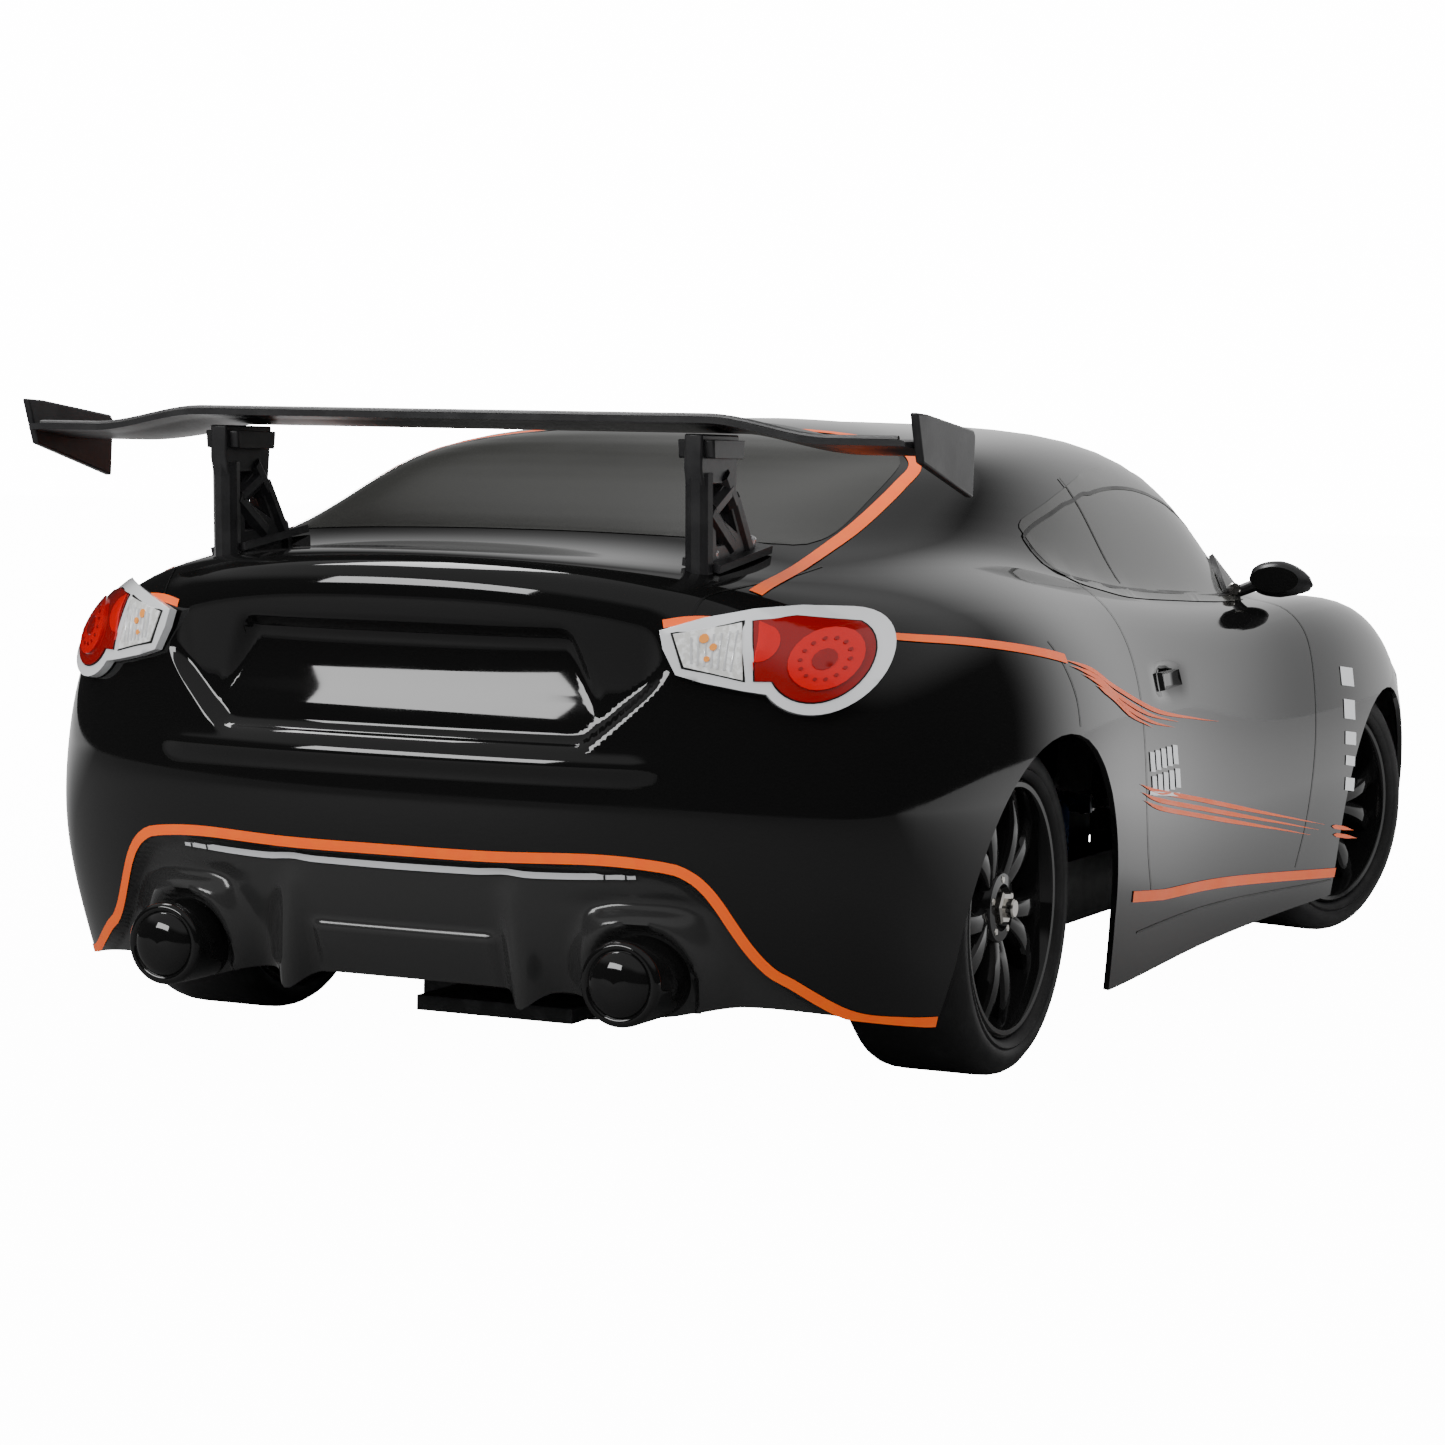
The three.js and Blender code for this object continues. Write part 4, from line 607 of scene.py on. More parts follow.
def smooth_path(knots, step=1.5):
    """A Catmull-Rom curve through the knots, sampled about every `step`."""
    points = [Vector(k) for k in knots]
    points = [2 * points[0] - points[1], *points, 2 * points[-1] - points[-2]]
    path = []
    for i in range(1, len(points) - 2):
        p0, p1, p2, p3 = points[i - 1 : i + 3]
        count = max(2, int((p2 - p1).length / step))
        for k in range(count):
            t = k / count
            path.append(
                0.5 * (2 * p1 + (p2 - p0) * t + (2 * p0 - 5 * p1 + 4 * p2 - p3) * t**2
                       + (3 * p1 - p0 - 3 * p2 + p3) * t**3)
            )
    return [*path, points[-2]]


def ribbon(knots, width, lift=0.2, tree=None, step=1.2):
    """A stripe along knots on the skin. `width` is a number or a function of the share of the way."""
    knots = [on_skin(p, 0, tree)[0] for p in knots]
    path = [on_skin(p, 0, tree) for p in smooth_path(knots, step)]
    verts, faces = [], []
    across = (-1, -0.5, 0, 0.5, 1)
    for i, (point, normal) in enumerate(path):
        along = (path[min(i + 1, len(path) - 1)][0] - path[max(i - 1, 0)][0]).normalized()
        side = normal.cross(along).normalized()
        half = (width(i / (len(path) - 1)) if callable(width) else width) / 2
        for share in across:
            verts.append(on_skin(point + side * half * share, lift, tree)[0])
    count = len(across)
    for i in range(len(path) - 1):
        for k in range(count - 1):
            a = i * count + k
            faces.append([a, a + count, a + count + 1, a + 1])
    return verts, faces


def facing(part):
    """Turns the faces of a part on the skin to look away from the middle of the car."""
    verts, faces = part
    turned = []
    for face in faces:
        a, b, c = (Vector(verts[i]) for i in face[:3])
        turned.append(face if (b - a).cross(c - a).dot(a - CAR_MIDDLE) > 0 else face[::-1])
    return verts, turned


def patch(outline, direction, lift=0.1, low=None, spacing=2.0, tree=None):
    """A sheet on the skin inside an outline seen along `direction` ("x-" is from behind, "y" from the left,
    "x+" from the front, "z" from above). With `low`, its rim is carried down to
    that lift, so that it is a raised pad."""
    flat = [Vector(p) for p in outline]
    count = len(flat)
    lo = [min(p[k] for p in flat) for k in (0, 1)]
    hi = [max(p[k] for p in flat) for k in (0, 1)]
    steps = [max(1, int((hi[k] - lo[k]) / spacing)) for k in (0, 1)]
    inside = [
        Vector((lo[0] + (hi[0] - lo[0]) * (i + 0.5) / steps[0],
                lo[1] + (hi[1] - lo[1]) * (j + 0.5) / steps[1]))
        for i in range(steps[0])
        for j in range(steps[1])
    ]
    edges = [(i, (i + 1) % count) for i in range(count)]
    points, _, faces, *_ = delaunay_2d_cdt(flat + inside, edges, [], 1, 1e-4)
    verts, under = [], []
    for point in points:
        start, way = {
            "x-": (Vector((-400, point.x, point.y)), Vector((1, 0, 0))),
            "x+": (Vector((400, point.x, point.y)), Vector((-1, 0, 0))),
            "y": (Vector((point.x, 200, point.y)), Vector((0, -1, 0))),
            "z": (Vector((point.x, point.y, 300)), Vector((0, 0, -1))),
        }[direction]
        hit, normal, _, _ = (tree or SKIN).ray_cast(start, way)
        if hit is None:
            hit, normal = on_skin(start + way * 200)
        if normal.dot(way) > 0:
            normal = -normal
        verts.append(hit + normal * lift)
        under.append(hit + normal * (low or 0))
    faces = [list(face) for face in faces]
    if low is None:
        return facing((verts, faces))
    top = facing((verts, faces))[1]
    uses = {}
    for face in top:
        for a, b in zip(face, face[1:] + face[:1]):
            uses[(a, b)] = face
    rim = [(a, b) for a, b in uses if (b, a) not in uses]
    start = len(verts)
    sides = [[b, a, a + start, b + start] for a, b in rim]
    return verts + under, top + sides


def both_sides(name, part, look, slot=None, **options):
    """A left-side part of the shell and its mirror image, as pieces NAME_left and NAME_right."""
    for side, sign in SIDES:
        make(f"{name}_{side}", *sided(part, sign), look, "shell", slot, **options)


# ---- Windows, stripes and marks ----
def taper(width, start=0.15, end=0.3):
    """A width that grows from a point and thins to a point again."""
    return lambda t: width * max(0.06, min(1, t / start, (1 - t) / end))


def rounded(outline):
    """A smooth closed outline through the corners of a flat one."""
    path = smooth_path([(*p, 0) for p in [*outline, outline[0]]], 3)[:-1]
    return [(p.x, p.y) for p in path]


def decals():
    side_glass = smooth_path([
        (-78.5, 104.8, 0), (-74, 98.5, 0), (-65, 94, 0), (-48, 91.2, 0), (-31, 89.4, 0), (0, 88, 0),
        (30, 86.9, 0),
        (52, 86.5, 0), (66, 87.5, 0), (69, 92, 0), (64, 98.5, 0), (52, 107.5, 0), (40, 112.6, 0),
        (28, 115.8, 0),
        (10, 117.6, 0), (-7, 117.8, 0), (-26, 116.4, 0), (-45, 113, 0), (-64, 109, 0), (-76, 106.4, 0),
        (-78.5, 104.8, 0),
    ])[:-1]
    outline = [(p.x, p.y) for p in side_glass]
    both_sides("side_window", patch(outline, "y", lift=0.16), SMOKE)
    seal = [on_skin((x, 78, z))[0] for x, z in outline[::3]]
    seal = [*seal, seal[0], seal[1]]
    both_sides("side_window_seal", facing(ribbon(seal, 0.9, lift=0.24)), GROOVE)
    divider = [(-45, 66, 113), (-41, 69, 107), (-37, 73, 99), (-32.5, 77, 91)]
    both_sides("window_divider", facing(ribbon(divider, 0.7, lift=0.26)), GROOVE)

    border = [
        (-190, 62.5, 94.5), (-180, 62, 96.2), (-170, 61.5, 98.5), (-160, 60.6, 100.2), (-150, 60, 102.3),
        (-137, 60, 106), (-125, 59.9, 110), (-112, 59, 113.6), (-99.5, 57.2, 117.2), (-90, 50, 119.5),
        (-82, 38, 121.5), (-76, 20, 122.7), (-74, 0, 123.2),
    ]
    whole = border + [(x, -y, z) for x, y, z in border[-2::-1]]
    make("rear_glass_stripe", *facing(ribbon(whole, 2.6)), ORANGE, "shell")
    rear_glass = [
        (-163, 0), (-162, 30), (-157, 51), (-148, 57.2), (-125, 57), (-101, 54.5), (-92, 47.5), (-84.5, 36.5),
        (-78.5, 19), (-77, 0),
    ]
    rear_glass += [(x, -y) for x, y in rear_glass[-2:0:-1]]
    make("rear_window", *patch(rounded(rear_glass), "z", lift=0.12, spacing=2.5), SMOKE, "shell")
    windscreen = [
        (96, 0), (94, 34), (86, 60), (72, 60), (57, 53.5), (44, 49.5), (36, 44), (35, 22), (36, 0),
    ]
    windscreen += [(x, -y) for x, y in windscreen[-2:0:-1]]
    make("windscreen", *patch(rounded(windscreen), "z", lift=0.16, spacing=2.5), SMOKE, "shell")

    # the bumper's lower border, from the arch's edge round the corner, up and over to the other side
    low = [(-169.5, 93, 15.4), (-177, 87.5, 16.4), (-186, 81, 18)]
    path = [(-200, w, bumper_edge(np.float64(w)) + 1.0) for w in (76, 72.5, 69.5, 66.5, 63.5, 61, 58.5, 55.5,
                                                                  51)]
    half = low + path + [(-206, w, 46.5) for w in (40, 20)]
    whole = half + [(-206, 0, 46.6)] + [(x, -y, z) for x, y, z in half[::-1]]
    make("bumper_stripe", *facing(ribbon(whole, 2.0, tree=PLAIN_SKIN)), ORANGE, "shell")
    silver = [(-205, y, 43.5) for y in (47, 30, 15, 0, -15, -30, -47)]
    make("bumper_trim", *facing(ribbon(silver, 1.3, lift=0.5)), TRIM, "shell")
    for k, y in enumerate((45.2, 41.2, -41.2, -45.2)):
        slit = [(-205, y, 44.6), (-205, y, 43.4), (-205, y, 42.3)]
        make(f"bumper_trim_slit_{k}", *facing(ribbon(slit, 0.35, lift=0.62)), GROOVE, "shell")

    over_lamp = [
        (-206, 51.2, 88.6), (-204.5, 57, 90.2), (-201, 65, 91.4), (-196, 72, 91.6), (-190, 77, 91.2),
        (-184, 82, 90.4), (-170, 87.5, 87.5), (-150, 92, 84.3), (-135, 94.5, 82.3), (-119, 96.5, 80.2),
    ]
    both_sides("shoulder_stripe", facing(ribbon(over_lamp, lambda t: 1.5 + 0.5 * t)), ORANGE)
    upper = (((-121, 80.4), (-104, 77.4), (-88, 73.2), (-54, 67.0), (-20, 63.4), (-1, 61.6)),
             ((-118, 78.9), (-102, 75.8), (-88, 71.7), (-62, 66.7), (-34, 63.4)),
             ((-112, 76.9), (-98, 73.8), (-84, 69.6), (-60, 65.0), (-38, 62.4)),
             ((-104, 74.3), (-92, 71.2), (-78, 67.2), (-58, 63.5)))
    lower = (((-71.5, 52.6), (-55, 49.8), (-14, 44.6), (40, 36.9), (76, 31.9)),
             ((-70, 50.8), (-54, 47.9), (-14, 42.7), (40, 35.3), (72, 30.9)),
             ((-67.5, 48.9), (-52, 46.0), (-14, 41.0), (40, 33.7), (66, 30.1)),
             ((82, 31.0), (92, 29.8), (100, 28.7)), ((84, 28.8), (94, 27.6), (104, 26.4)))
    for group, lines in (("upper", upper), ("lower", lower)):
        for k, line in enumerate(lines):
            knots = [(x, 97, z) for x, z in line]
            both_sides(f"speed_line_{group}_{k}", facing(ribbon(knots, taper(1.0, 0.12, 0.45))), ORANGE)
    sill = [(-73, 96, 29.4), (-63, 96, 28.4), (-50, 96, 27.2), (-39, 96, 26.4), (3, 96, 24.4), (50, 96, 21.4),
            (90, 98, 18.6)]
    both_sides("sill_stripe", facing(ribbon(sill, 2.3)), ORANGE)

    # plain marks in place of the badges: a chequered block on the door, bars on the front wing
    tiles = []
    for row in range(2):
        for column in range(5):
            x0 = -62 + column * 5.4 + row * 2.0
            z0 = 58.6 - row * 5.2
            tile = [(x0, z0), (x0 + 4.2, z0 - 0.4), (x0 + 5.2, z0 - 4.6), (x0 + 1.0, z0 - 4.2)]
            tiles.append(patch(tile, "y", lift=0.18))
    tiles.append(patch([(-62, 50.4), (-34, 47.8), (-34, 47.0), (-62, 49.6)], "y", lift=0.18))
    both_sides("door_mark", merged(tiles), WHITE)
    bars = []
    for k, (z0, height, width) in enumerate(((70, 4.6, 9), (62, 4.8, 8), (54, 3.2, 8), (48, 2.4, 7),
                                             (42.5, 3.2, 7))):
        x0 = 87 + 0.6 * k
        bars.append(patch([(x0, z0), (x0 + width, z0 - 0.8), (x0 + width, z0 - 0.8 - height),
                           (x0, z0 - height)],
                          "y", lift=0.18))
    both_sides("wing_marks", merged(bars), WHITE)


def shut_lines():
    lines = {
        "quarter_line": [(-124, 95, 84), (-121, 98, 79), (-119, 100, 73), (-119, 101, 67.5)],
        "door_rear_line": [(-62, 76, 92), (-66, 90, 80), (-66, 94, 60), (-62, 94, 40), (-55, 94, 27)],
        "door_front_line": [(66, 76, 88), (69, 90, 76), (68, 94, 55), (64, 94, 36), (58, 94, 23)],
        "boot_line": [(-162, 64, 100.5), (-176, 62.5, 97.5), (-190, 59.5, 95), (-199, 56, 93),
                      (-203.5, 55, 86)],
        "bonnet_line": [(96, 66, 89), (112, 72, 86), (135, 73, 84), (155, 68, 80), (172, 60, 76)],
        "sill_line": [(-66, 96, 21), (0, 94, 20), (60, 95, 18), (88, 97, 17)],
    }
    for name, knots in lines.items():
        both_sides(name, facing(ribbon(knots, 0.42, lift=0.12)), GROOVE)
    handle = patch([(-46, 74.2), (-31, 74.4), (-30, 70.8), (-45, 70.2)], "y", lift=1.3, low=0.2, spacing=1.2)
    both_sides("door_handle", handle, PAINT, slot="shell_gloss", sharp=30)


def nose():
    lamp = [(157, 69), (172, 66.5), (186, 61.5), (193, 57.5), (188, 56.2), (176, 57), (163, 60.5),
            (155, 64.5)]
    both_sides("headlamp", patch(lamp, "y", lift=0.5, low=0.0, spacing=2), CHROME, sharp=40)
    inner = [(161, 67.0), (172, 65.0), (184, 60.8), (189, 58.3), (177, 58.4), (165, 61.5), (160, 64.4)]
    both_sides("headlamp_lens", patch(inner, "y", lift=0.8, low=0.3, spacing=2), CLEAR_LENS, sharp=40)
    slats = []
    for k in range(5):
        z = 19.5 + 3.4 * k
        slats.append(facing(ribbon([(205, y, z) for y in (-44, -22, 0, 22, 44)], 0.8, lift=0.7)))
    make("grille_slats", *merged(slats), SATIN, "shell")
    net = patch([(-45, 17), (45, 17), (42, 36), (-42, 36)], "x+", lift=0.15, spacing=3)
    make("grille_mesh", *net, GROOVE, "shell")
    net = patch([(-32, 46.5), (32, 46.5), (30, 51.5), (-30, 51.5)], "x+", lift=0.15, spacing=3)
    make("grille_upper", *net, GROOVE, "shell")
    fog = [(58 + 5 * math.cos(a), 24 + 3.6 * math.sin(a)) for a in np.linspace(0, 2 * math.pi, 24)[:-1]]
    both_sides("fog_lamp", patch(fog, "x+", lift=0.8, low=0.0, spacing=1.5), CLEAR_LENS, sharp=40)
    edge = [(196, 71, 12.8), (206, 45, 12.8), (211, 20, 12.8), (212, 0, 12.8)]
    whole = edge + [(x, -y, z) for x, y, z in edge[-2::-1]]
    make("splitter_stripe", *facing(ribbon(whole, 1.6)), ORANGE, "shell")


# ---- Tail lamps and exhaust tips ----
def tail_lamps():
    lift = 2.0

    def ring(cy, cz, r, a0, a1, n):
        angles = [math.radians(a) for a in np.linspace(a0, a1, n)]
        return [(cy + r * math.cos(a), cz + r * math.sin(a)) for a in angles]

    bezel = [(50.3, 86.8), (51.2, 83.6), (53.6, 79.2), (58, 77.9), (64.5, 76.6)]
    bezel += ring(75.3, 81.3, 8.8, -143, 84, 30) + [(70, 90.4), (64, 90), (57, 88.8)]
    clear = [(52.6, 86.2), (54.9, 80.6), (64.4, 78.4), (62.8, 87.9)]
    red = [(64.2, 88.2), (66.0, 78.2)] + ring(75.0, 81.5, 7.1, -152, 62, 24) + [(70, 88.8)]
    discs = ring(75.6, 81.6, 5.0, 0, 345, 24)
    half_disc = ring(66.0, 84.4, 3.0, -100, 72, 12) + [(65.2, 88.0), (65.8, 80.0)]
    for side, sign in SIDES:
        def pad(name, outline, top, low, look, spacing=1.2, sharp=32):
            part = patch([(y, z) for y, z in outline], "x-", lift=top, low=low, spacing=spacing,
                         tree=PLAIN_SKIN)
            return make(f"{name}_{side}", *sided(part, sign), look, "shell", sharp=sharp)

        piece = pad("lamp_bezel", bezel, lift, 0.3, CHROME)
        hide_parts(f"tail_lamp_{side}")
        bevelled(piece, 0.35, 3, 40)
        piece.data.shade_smooth()
        pad("lamp_clear_frame", grown(clear, 0.5), lift + 0.10, lift - 0.4, GROOVE)
        pad("lamp_clear", clear, lift + 0.32, lift - 0.2, CLEAR_LENS, 0.8)
        pad("lamp_red_frame", red, lift + 0.12, lift - 0.4, GROOVE)
        pad("lamp_red", grown(red, -0.25), lift + 0.30, lift - 0.2, RED_DEEP)
        pad("lamp_red_inner", half_disc, lift + 0.42, lift, RED_LENS)
        pad("lamp_red_disc", discs, lift + 0.75, lift, RED_LENS)
        dots = [ring(75.6 + 3.3 * math.cos(a), 81.6 + 3.3 * math.sin(a), 0.32, 0, 300, 6)
                for a in np.linspace(0, 2 * math.pi, 15)[:-1]]
        dots += [ring(75.6, 81.6, 1.7, 0, 330, 12)]
        part = merged([patch(dot, "x-", lift=lift + 0.9, low=lift + 0.4, spacing=1,
                             tree=PLAIN_SKIN) for dot in dots])
        make(f"lamp_leds_{side}", *sided(part, sign), RED_DEEP, "shell")
        ribs = [[(55.4 + 1.15 * k, 85.6 + 0.18 * k), (55.7 + 1.15 * k, 85.6 + 0.18 * k),
                 (56.2 + 1.05 * k, 81.2 - 0.22 * k), (55.9 + 1.05 * k, 81.2 - 0.22 * k)] for k in range(7)]
        part = merged([patch(rib, "x-", lift=lift + 0.5, low=lift + 0.1, spacing=1,
                             tree=PLAIN_SKIN) for rib in ribs])
        make(f"lamp_ribs_{side}", *sided(part, sign), TRIM, "shell")
        spots = [ring(cy, cz, r, 0, 330, 10) for cy, cz,
                 r in ((57.6, 85.4, 0.8), (59.2, 84.0, 0.6), (58.4, 82.0, 0.5))]
        part = merged([patch(spot, "x-", lift=lift + 0.55, low=lift + 0.1, spacing=1,
                             tree=PLAIN_SKIN) for spot in spots])
        make(f"lamp_amber_{side}", *sided(part, sign), AMBER, "shell")
        dome = [(1e-3, -1.7), (2.4, -1.55), (4.4, -1.0), (5.7, -0.1), (6.1, 0.5), (6.5, 0.2), (7.2, 0.3),
                (7.7, 0.9)]
        tip = lathe([*dome, (7.8, 1.8), (7.8, 15), (1e-3, 15)], 64)
        turn = Matrix.Translation(Vector((-213.0, sign * 47.5, 24.6))) @ Matrix.Rotation(-math.pi / 2, 4, "Z")
        make(f"exhaust_tip_{side}", *moved(tip, turn), PAINT, "shell", sharp=50)


def grown(outline, by):
    """A convex-ish outline moved out by `by` from its middle."""
    middle = np.mean(outline, axis=0)
    made = []
    for point in outline:
        way = np.subtract(point, middle)
        made.append(tuple(np.add(point, way / np.linalg.norm(way) * by)))
    return made


decals()
shut_lines()
nose()
tail_lamps()


# ---- Wing ----
WING_Z, TIP_DROP = 122.3, 3.4


def blade_height(y):
    """Height of the blade's underside: level in the middle and lower towards the tips."""
    return WING_Z - TIP_DROP * float(smoothstep(53, 77, abs(y)))


def wing():
    chord, front = 29.0, -165.0
    section = []
    for t in np.linspace(0, 1, 26):
        section.append((-chord * t, 0.6 - 1.4 * math.sin(math.pi * min(t * 1.25, 1)) * 0.5 + 1.0 * t**3))
    for t in np.linspace(1, 0, 26):
        thick = 0.5 + 2.2 * math.sqrt(t + 1e-6) * (1 - t) * 1.9 + 0.6 * t
        section.append((-chord * t, 0.6 - 0.7 * math.sin(math.pi * min(t * 1.25, 1)) + 1.0 * t**3 + thick))
    stations = np.concatenate([[-91.8, -91.2], np.linspace(-90.5, 90.5, 150), [91.2, 91.8]])
    verts = []
    for y in stations:
        pinch = 1 - 0.25 * float(smoothstep(91.0, 91.8, abs(y)))
        verts += [(front + x, y, blade_height(y) + 1.4 + (z - 1.4) * pinch) for x, z in section]
    faces = strips(len(stations), len(section))
    blade = make("wing_blade_skin", verts, faces, SATIN, "shell", "wing_satin", sharp=40)
    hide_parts("wing_blade")
    lip = [(front - chord + 1.6, y, blade_height(y) + 2.9) for y in np.linspace(-90, 90, 80)]
    make("wing_gurney", *tube(lip, 0.55, 10), SATIN, "shell")


def outline_prism(outline, y0, y1, holes=()):
    """An x-z outline with holes, thickened from y0 to y1."""
    loops = [outline, *holes]
    flat = [Vector(p) for loop in loops for p in loop]
    edges, start = [], 0
    for loop in loops:
        edges += [(start + i, start + (i + 1) % len(loop)) for i in range(len(loop))]
        start += len(loop)
    points, _, faces, *_ = delaunay_2d_cdt(flat, edges, [], 1, 1e-5)

    def in_hole(face):
        cx = sum(points[i].x for i in face) / 3
        cz = sum(points[i].y for i in face) / 3
        for hole in holes:
            odd = False
            for (ax, az), (bx, bz) in zip(hole, hole[1:] + hole[:1]):
                if (az > cz) != (bz > cz) and cx < ax + (cz - az) / (bz - az) * (bx - ax):
                    odd = not odd
            if odd:
                return True
        return False

    faces = [list(f) for f in faces if not in_hole(f)]
    count = len(points)
    verts = [(p.x, y0, p.y) for p in points] + [(p.x, y1, p.y) for p in points]
    solid = faces + [[i + count for i in face[::-1]] for face in faces]
    directed = {(a, b) for face in faces for a, b in zip(face, face[1:] + face[:1])}
    solid += [[b, a, a + count, b + count] for a, b in directed if (b, a) not in directed]
    return verts, solid


def wing_parts():
    stay = [(-191.5, 122), (-175, 122), (-176, 110), (-169.5, 103), (-166, 97.2), (-186, 95), (-189, 108),
            (-191.5, 116)]
    holes = [
        [(-187.5, 113), (-182, 113), (-187, 109.5)],
        [(-179.5, 111), (-175.5, 104.5), (-185, 108)],
        [(-184.5, 105.5), (-178.5, 102.3), (-184, 102)],
    ]
    rib = [(-190.4, 121), (-176.2, 121), (-176.6, 117.6), (-189.9, 117.6)]
    for side, sign in SIDES:
        parts = [outline_prism(stay, 48.2, 51.8, holes), outline_prism(rib, 46.4, 53.6)]
        body = merged(parts)
        piece = make(f"wing_stay_skin_{side}", *sided(body, sign), SATIN, "shell",
                     "wing_satin", sharp=30)
        bevelled(piece, 0.35, 2)
        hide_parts(f"wing_stay_{side}")
        flanges = []
        for a, b in (((-188.5, 115), (-187.6, 96)), ((-176.4, 110.4), (-168, 99)),
                     ((-187, 108), (-177, 101.6)),
                     ((-181, 114.6), (-176.4, 109.6)), ((-186, 108.2), (-178.4, 112.2))):
            flanges.append(tube([(a[0], 50, a[1]), (b[0], 50, b[1])], 2.6, 10))
        # the foot pad follows the boot lid
        foot = patch([(-187, 46.2), (-163.5, 46.2), (-163.5, 53.8), (-187, 53.8)], "z", lift=1.8, low=0.3,
                     spacing=1.5)
        webs = merged([*flanges, foot])
        piece = make(f"wing_stay_foot_{side}", *sided(webs, sign), SATIN, "shell", sharp=30)
        for k, x in enumerate((-183.5, -167)):
            point, normal = on_skin((x, sign * 50, 99), 2.0)
            screw_at(f"wing_screw_{side}_{k}", point, normal, 1.7, "shell", STEEL)
        plate = [(-193.5, 126.4), (-188, 126.2), (-164.8, 123.8), (-164, 122.8), (-164.5, 111.5),
                 (-190, 117.6)]
        body = outline_prism(plate, 92.3, 93.9)
        piece = make(f"wing_endplate_skin_{side}", *sided(body, sign), SATIN, "shell",
                     "wing_satin", sharp=30)
        bevelled(piece, 0.4, 3)
        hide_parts(f"wing_endplate_{side}")


def screw_at(name, point, normal, radius, body, look):
    """A socket-head screw standing on a point."""
    lean = Vector((0, 1, 0)).rotation_difference(Vector(normal)).to_matrix().to_4x4()
    turn = Matrix.Translation(Vector(point)) @ lean
    head = lathe([(radius * 0.5, 0.35 * radius), (radius * 0.5, 0.9 * radius), (radius * 0.86, 0.9 * radius),
                  (radius, 0.72 * radius), (radius, -0.2), (0.02, -0.2), (0.02, 0.35 * radius)], 24)
    return make(name, *moved(head, turn), look, body, sharp=35)


wing()
wing_parts()


# ---- Mirrors ----
def mirrors():
    """A flat oval head on a bracket over the foot of the pillar, with a clamp knob below."""
    x, y, z = 60, 78.5, 87.5
    head_verts, head_faces = [], []
    rings, sides = 14, 32
    for i in range(rings + 1):
        t = i / rings
        reach = -1 + 2 * t
        bulk = math.sqrt(max(0.0, 1 - abs(reach) ** 2.6))
        pinch = 1 - 0.35 * max(0, reach)
        for k in range(sides):
            a = 2 * math.pi * k / sides
            across = math.copysign(abs(math.cos(a)) ** 0.8, math.cos(a))
            head_verts.append((
                x + 3 + 4.6 * bulk * across * pinch,
                y + 11 + 8.0 * reach,
                z + 4.2 + 4.4 * bulk * math.sin(a) * pinch - 1.2 * max(0, reach) ** 2,
            ))
    for i in range(rings):
        for k in range(sides):
            a, b = i * sides + k, i * sides + (k + 1) % sides
            head_faces.append([a, a + sides, b + sides, b])
    head_faces.append(list(range(sides)))
    head_faces.append(list(range(len(head_verts) - sides, len(head_verts)))[::-1])
    arm = tube([(x - 1, y - 1.5, z - 3.2), (x - 0.4, y + 0.4, z + 0.6), (x + 1, y + 5, z + 2.6),
                (x + 2.6, y + 9, z + 3.6)], 1.5, 14)
    hanger = tube([(x - 1, y - 1.5, z - 9.2), (x - 1, y - 1.5, z - 2.8)], 1.7, 14)
    base = patch([(48, 88.4), (62, 88.0), (67.5, 92), (60, 96.5), (52, 92.5)], "y", lift=1.6, low=0.3,
                 spacing=2)
    ribs = []
    for k in range(16):
        a = 2 * math.pi * k / 16
        ribs.append((x - 1 + 4.15 * math.cos(a), y - 1.5 + 4.15 * math.sin(a)))
    upright = Matrix.Rotation(math.pi / 2, 4, "X")
    knob = moved(disc(4.0, 0, 4.6, 0.6, 40), Matrix.Translation(Vector((x - 1, y - 1.5, z - 8.3))) @ upright)
    grips = [tube([(gx, gy, z - 7.8), (gx, gy, z - 4.4)], 0.45, 8) for gx, gy in ribs]
    for side, sign in SIDES:
        whole = merged([(head_verts, head_faces), arm, hanger, base, knob, *grips])
        piece = make(f"mirror_skin_{side}", *sided(whole, sign), SATIN, "shell", "wing_satin", sharp=40)
        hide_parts(f"mirror_{side}")
        under = Matrix.Translation(Vector((x - 1, sign * (y - 1.5), z - 8.4)))
        make(f"mirror_knob_face_{side}", *moved(disc(2.9, -0.5, 0.6, 0.25, 32), under @ upright), TRIM,
             "shell")
        glass = [(x - 2.4, y + 11 + 5.9 * math.cos(a), z + 4.2 + 3.1 * math.sin(a)) for a in
                 np.linspace(0, 2 * math.pi, 40)[:-1]]
        glass = [(gx - 1.35 + 0.35 * abs(gy - y - 11) / 6, gy, gz) for gx, gy, gz in glass]
        make(f"mirror_glass_{side}", *sided((glass, [list(range(len(glass)))]), sign), RIM_BLACK, "shell")
        screw_at(f"mirror_screw_{side}_a", (x - 2.6, sign * (y + 1.0), z + 1.6), (-1, sign * 0.3, 0.1), 1.5,
                 "shell", BRIGHT)
        screw_at(f"mirror_screw_{side}_b", (x + 0.4, sign * (y + 6.0), z + 3.2), (-1, sign * 0.2, 0.3), 1.1,
                 "shell", BRIGHT)


mirrors()


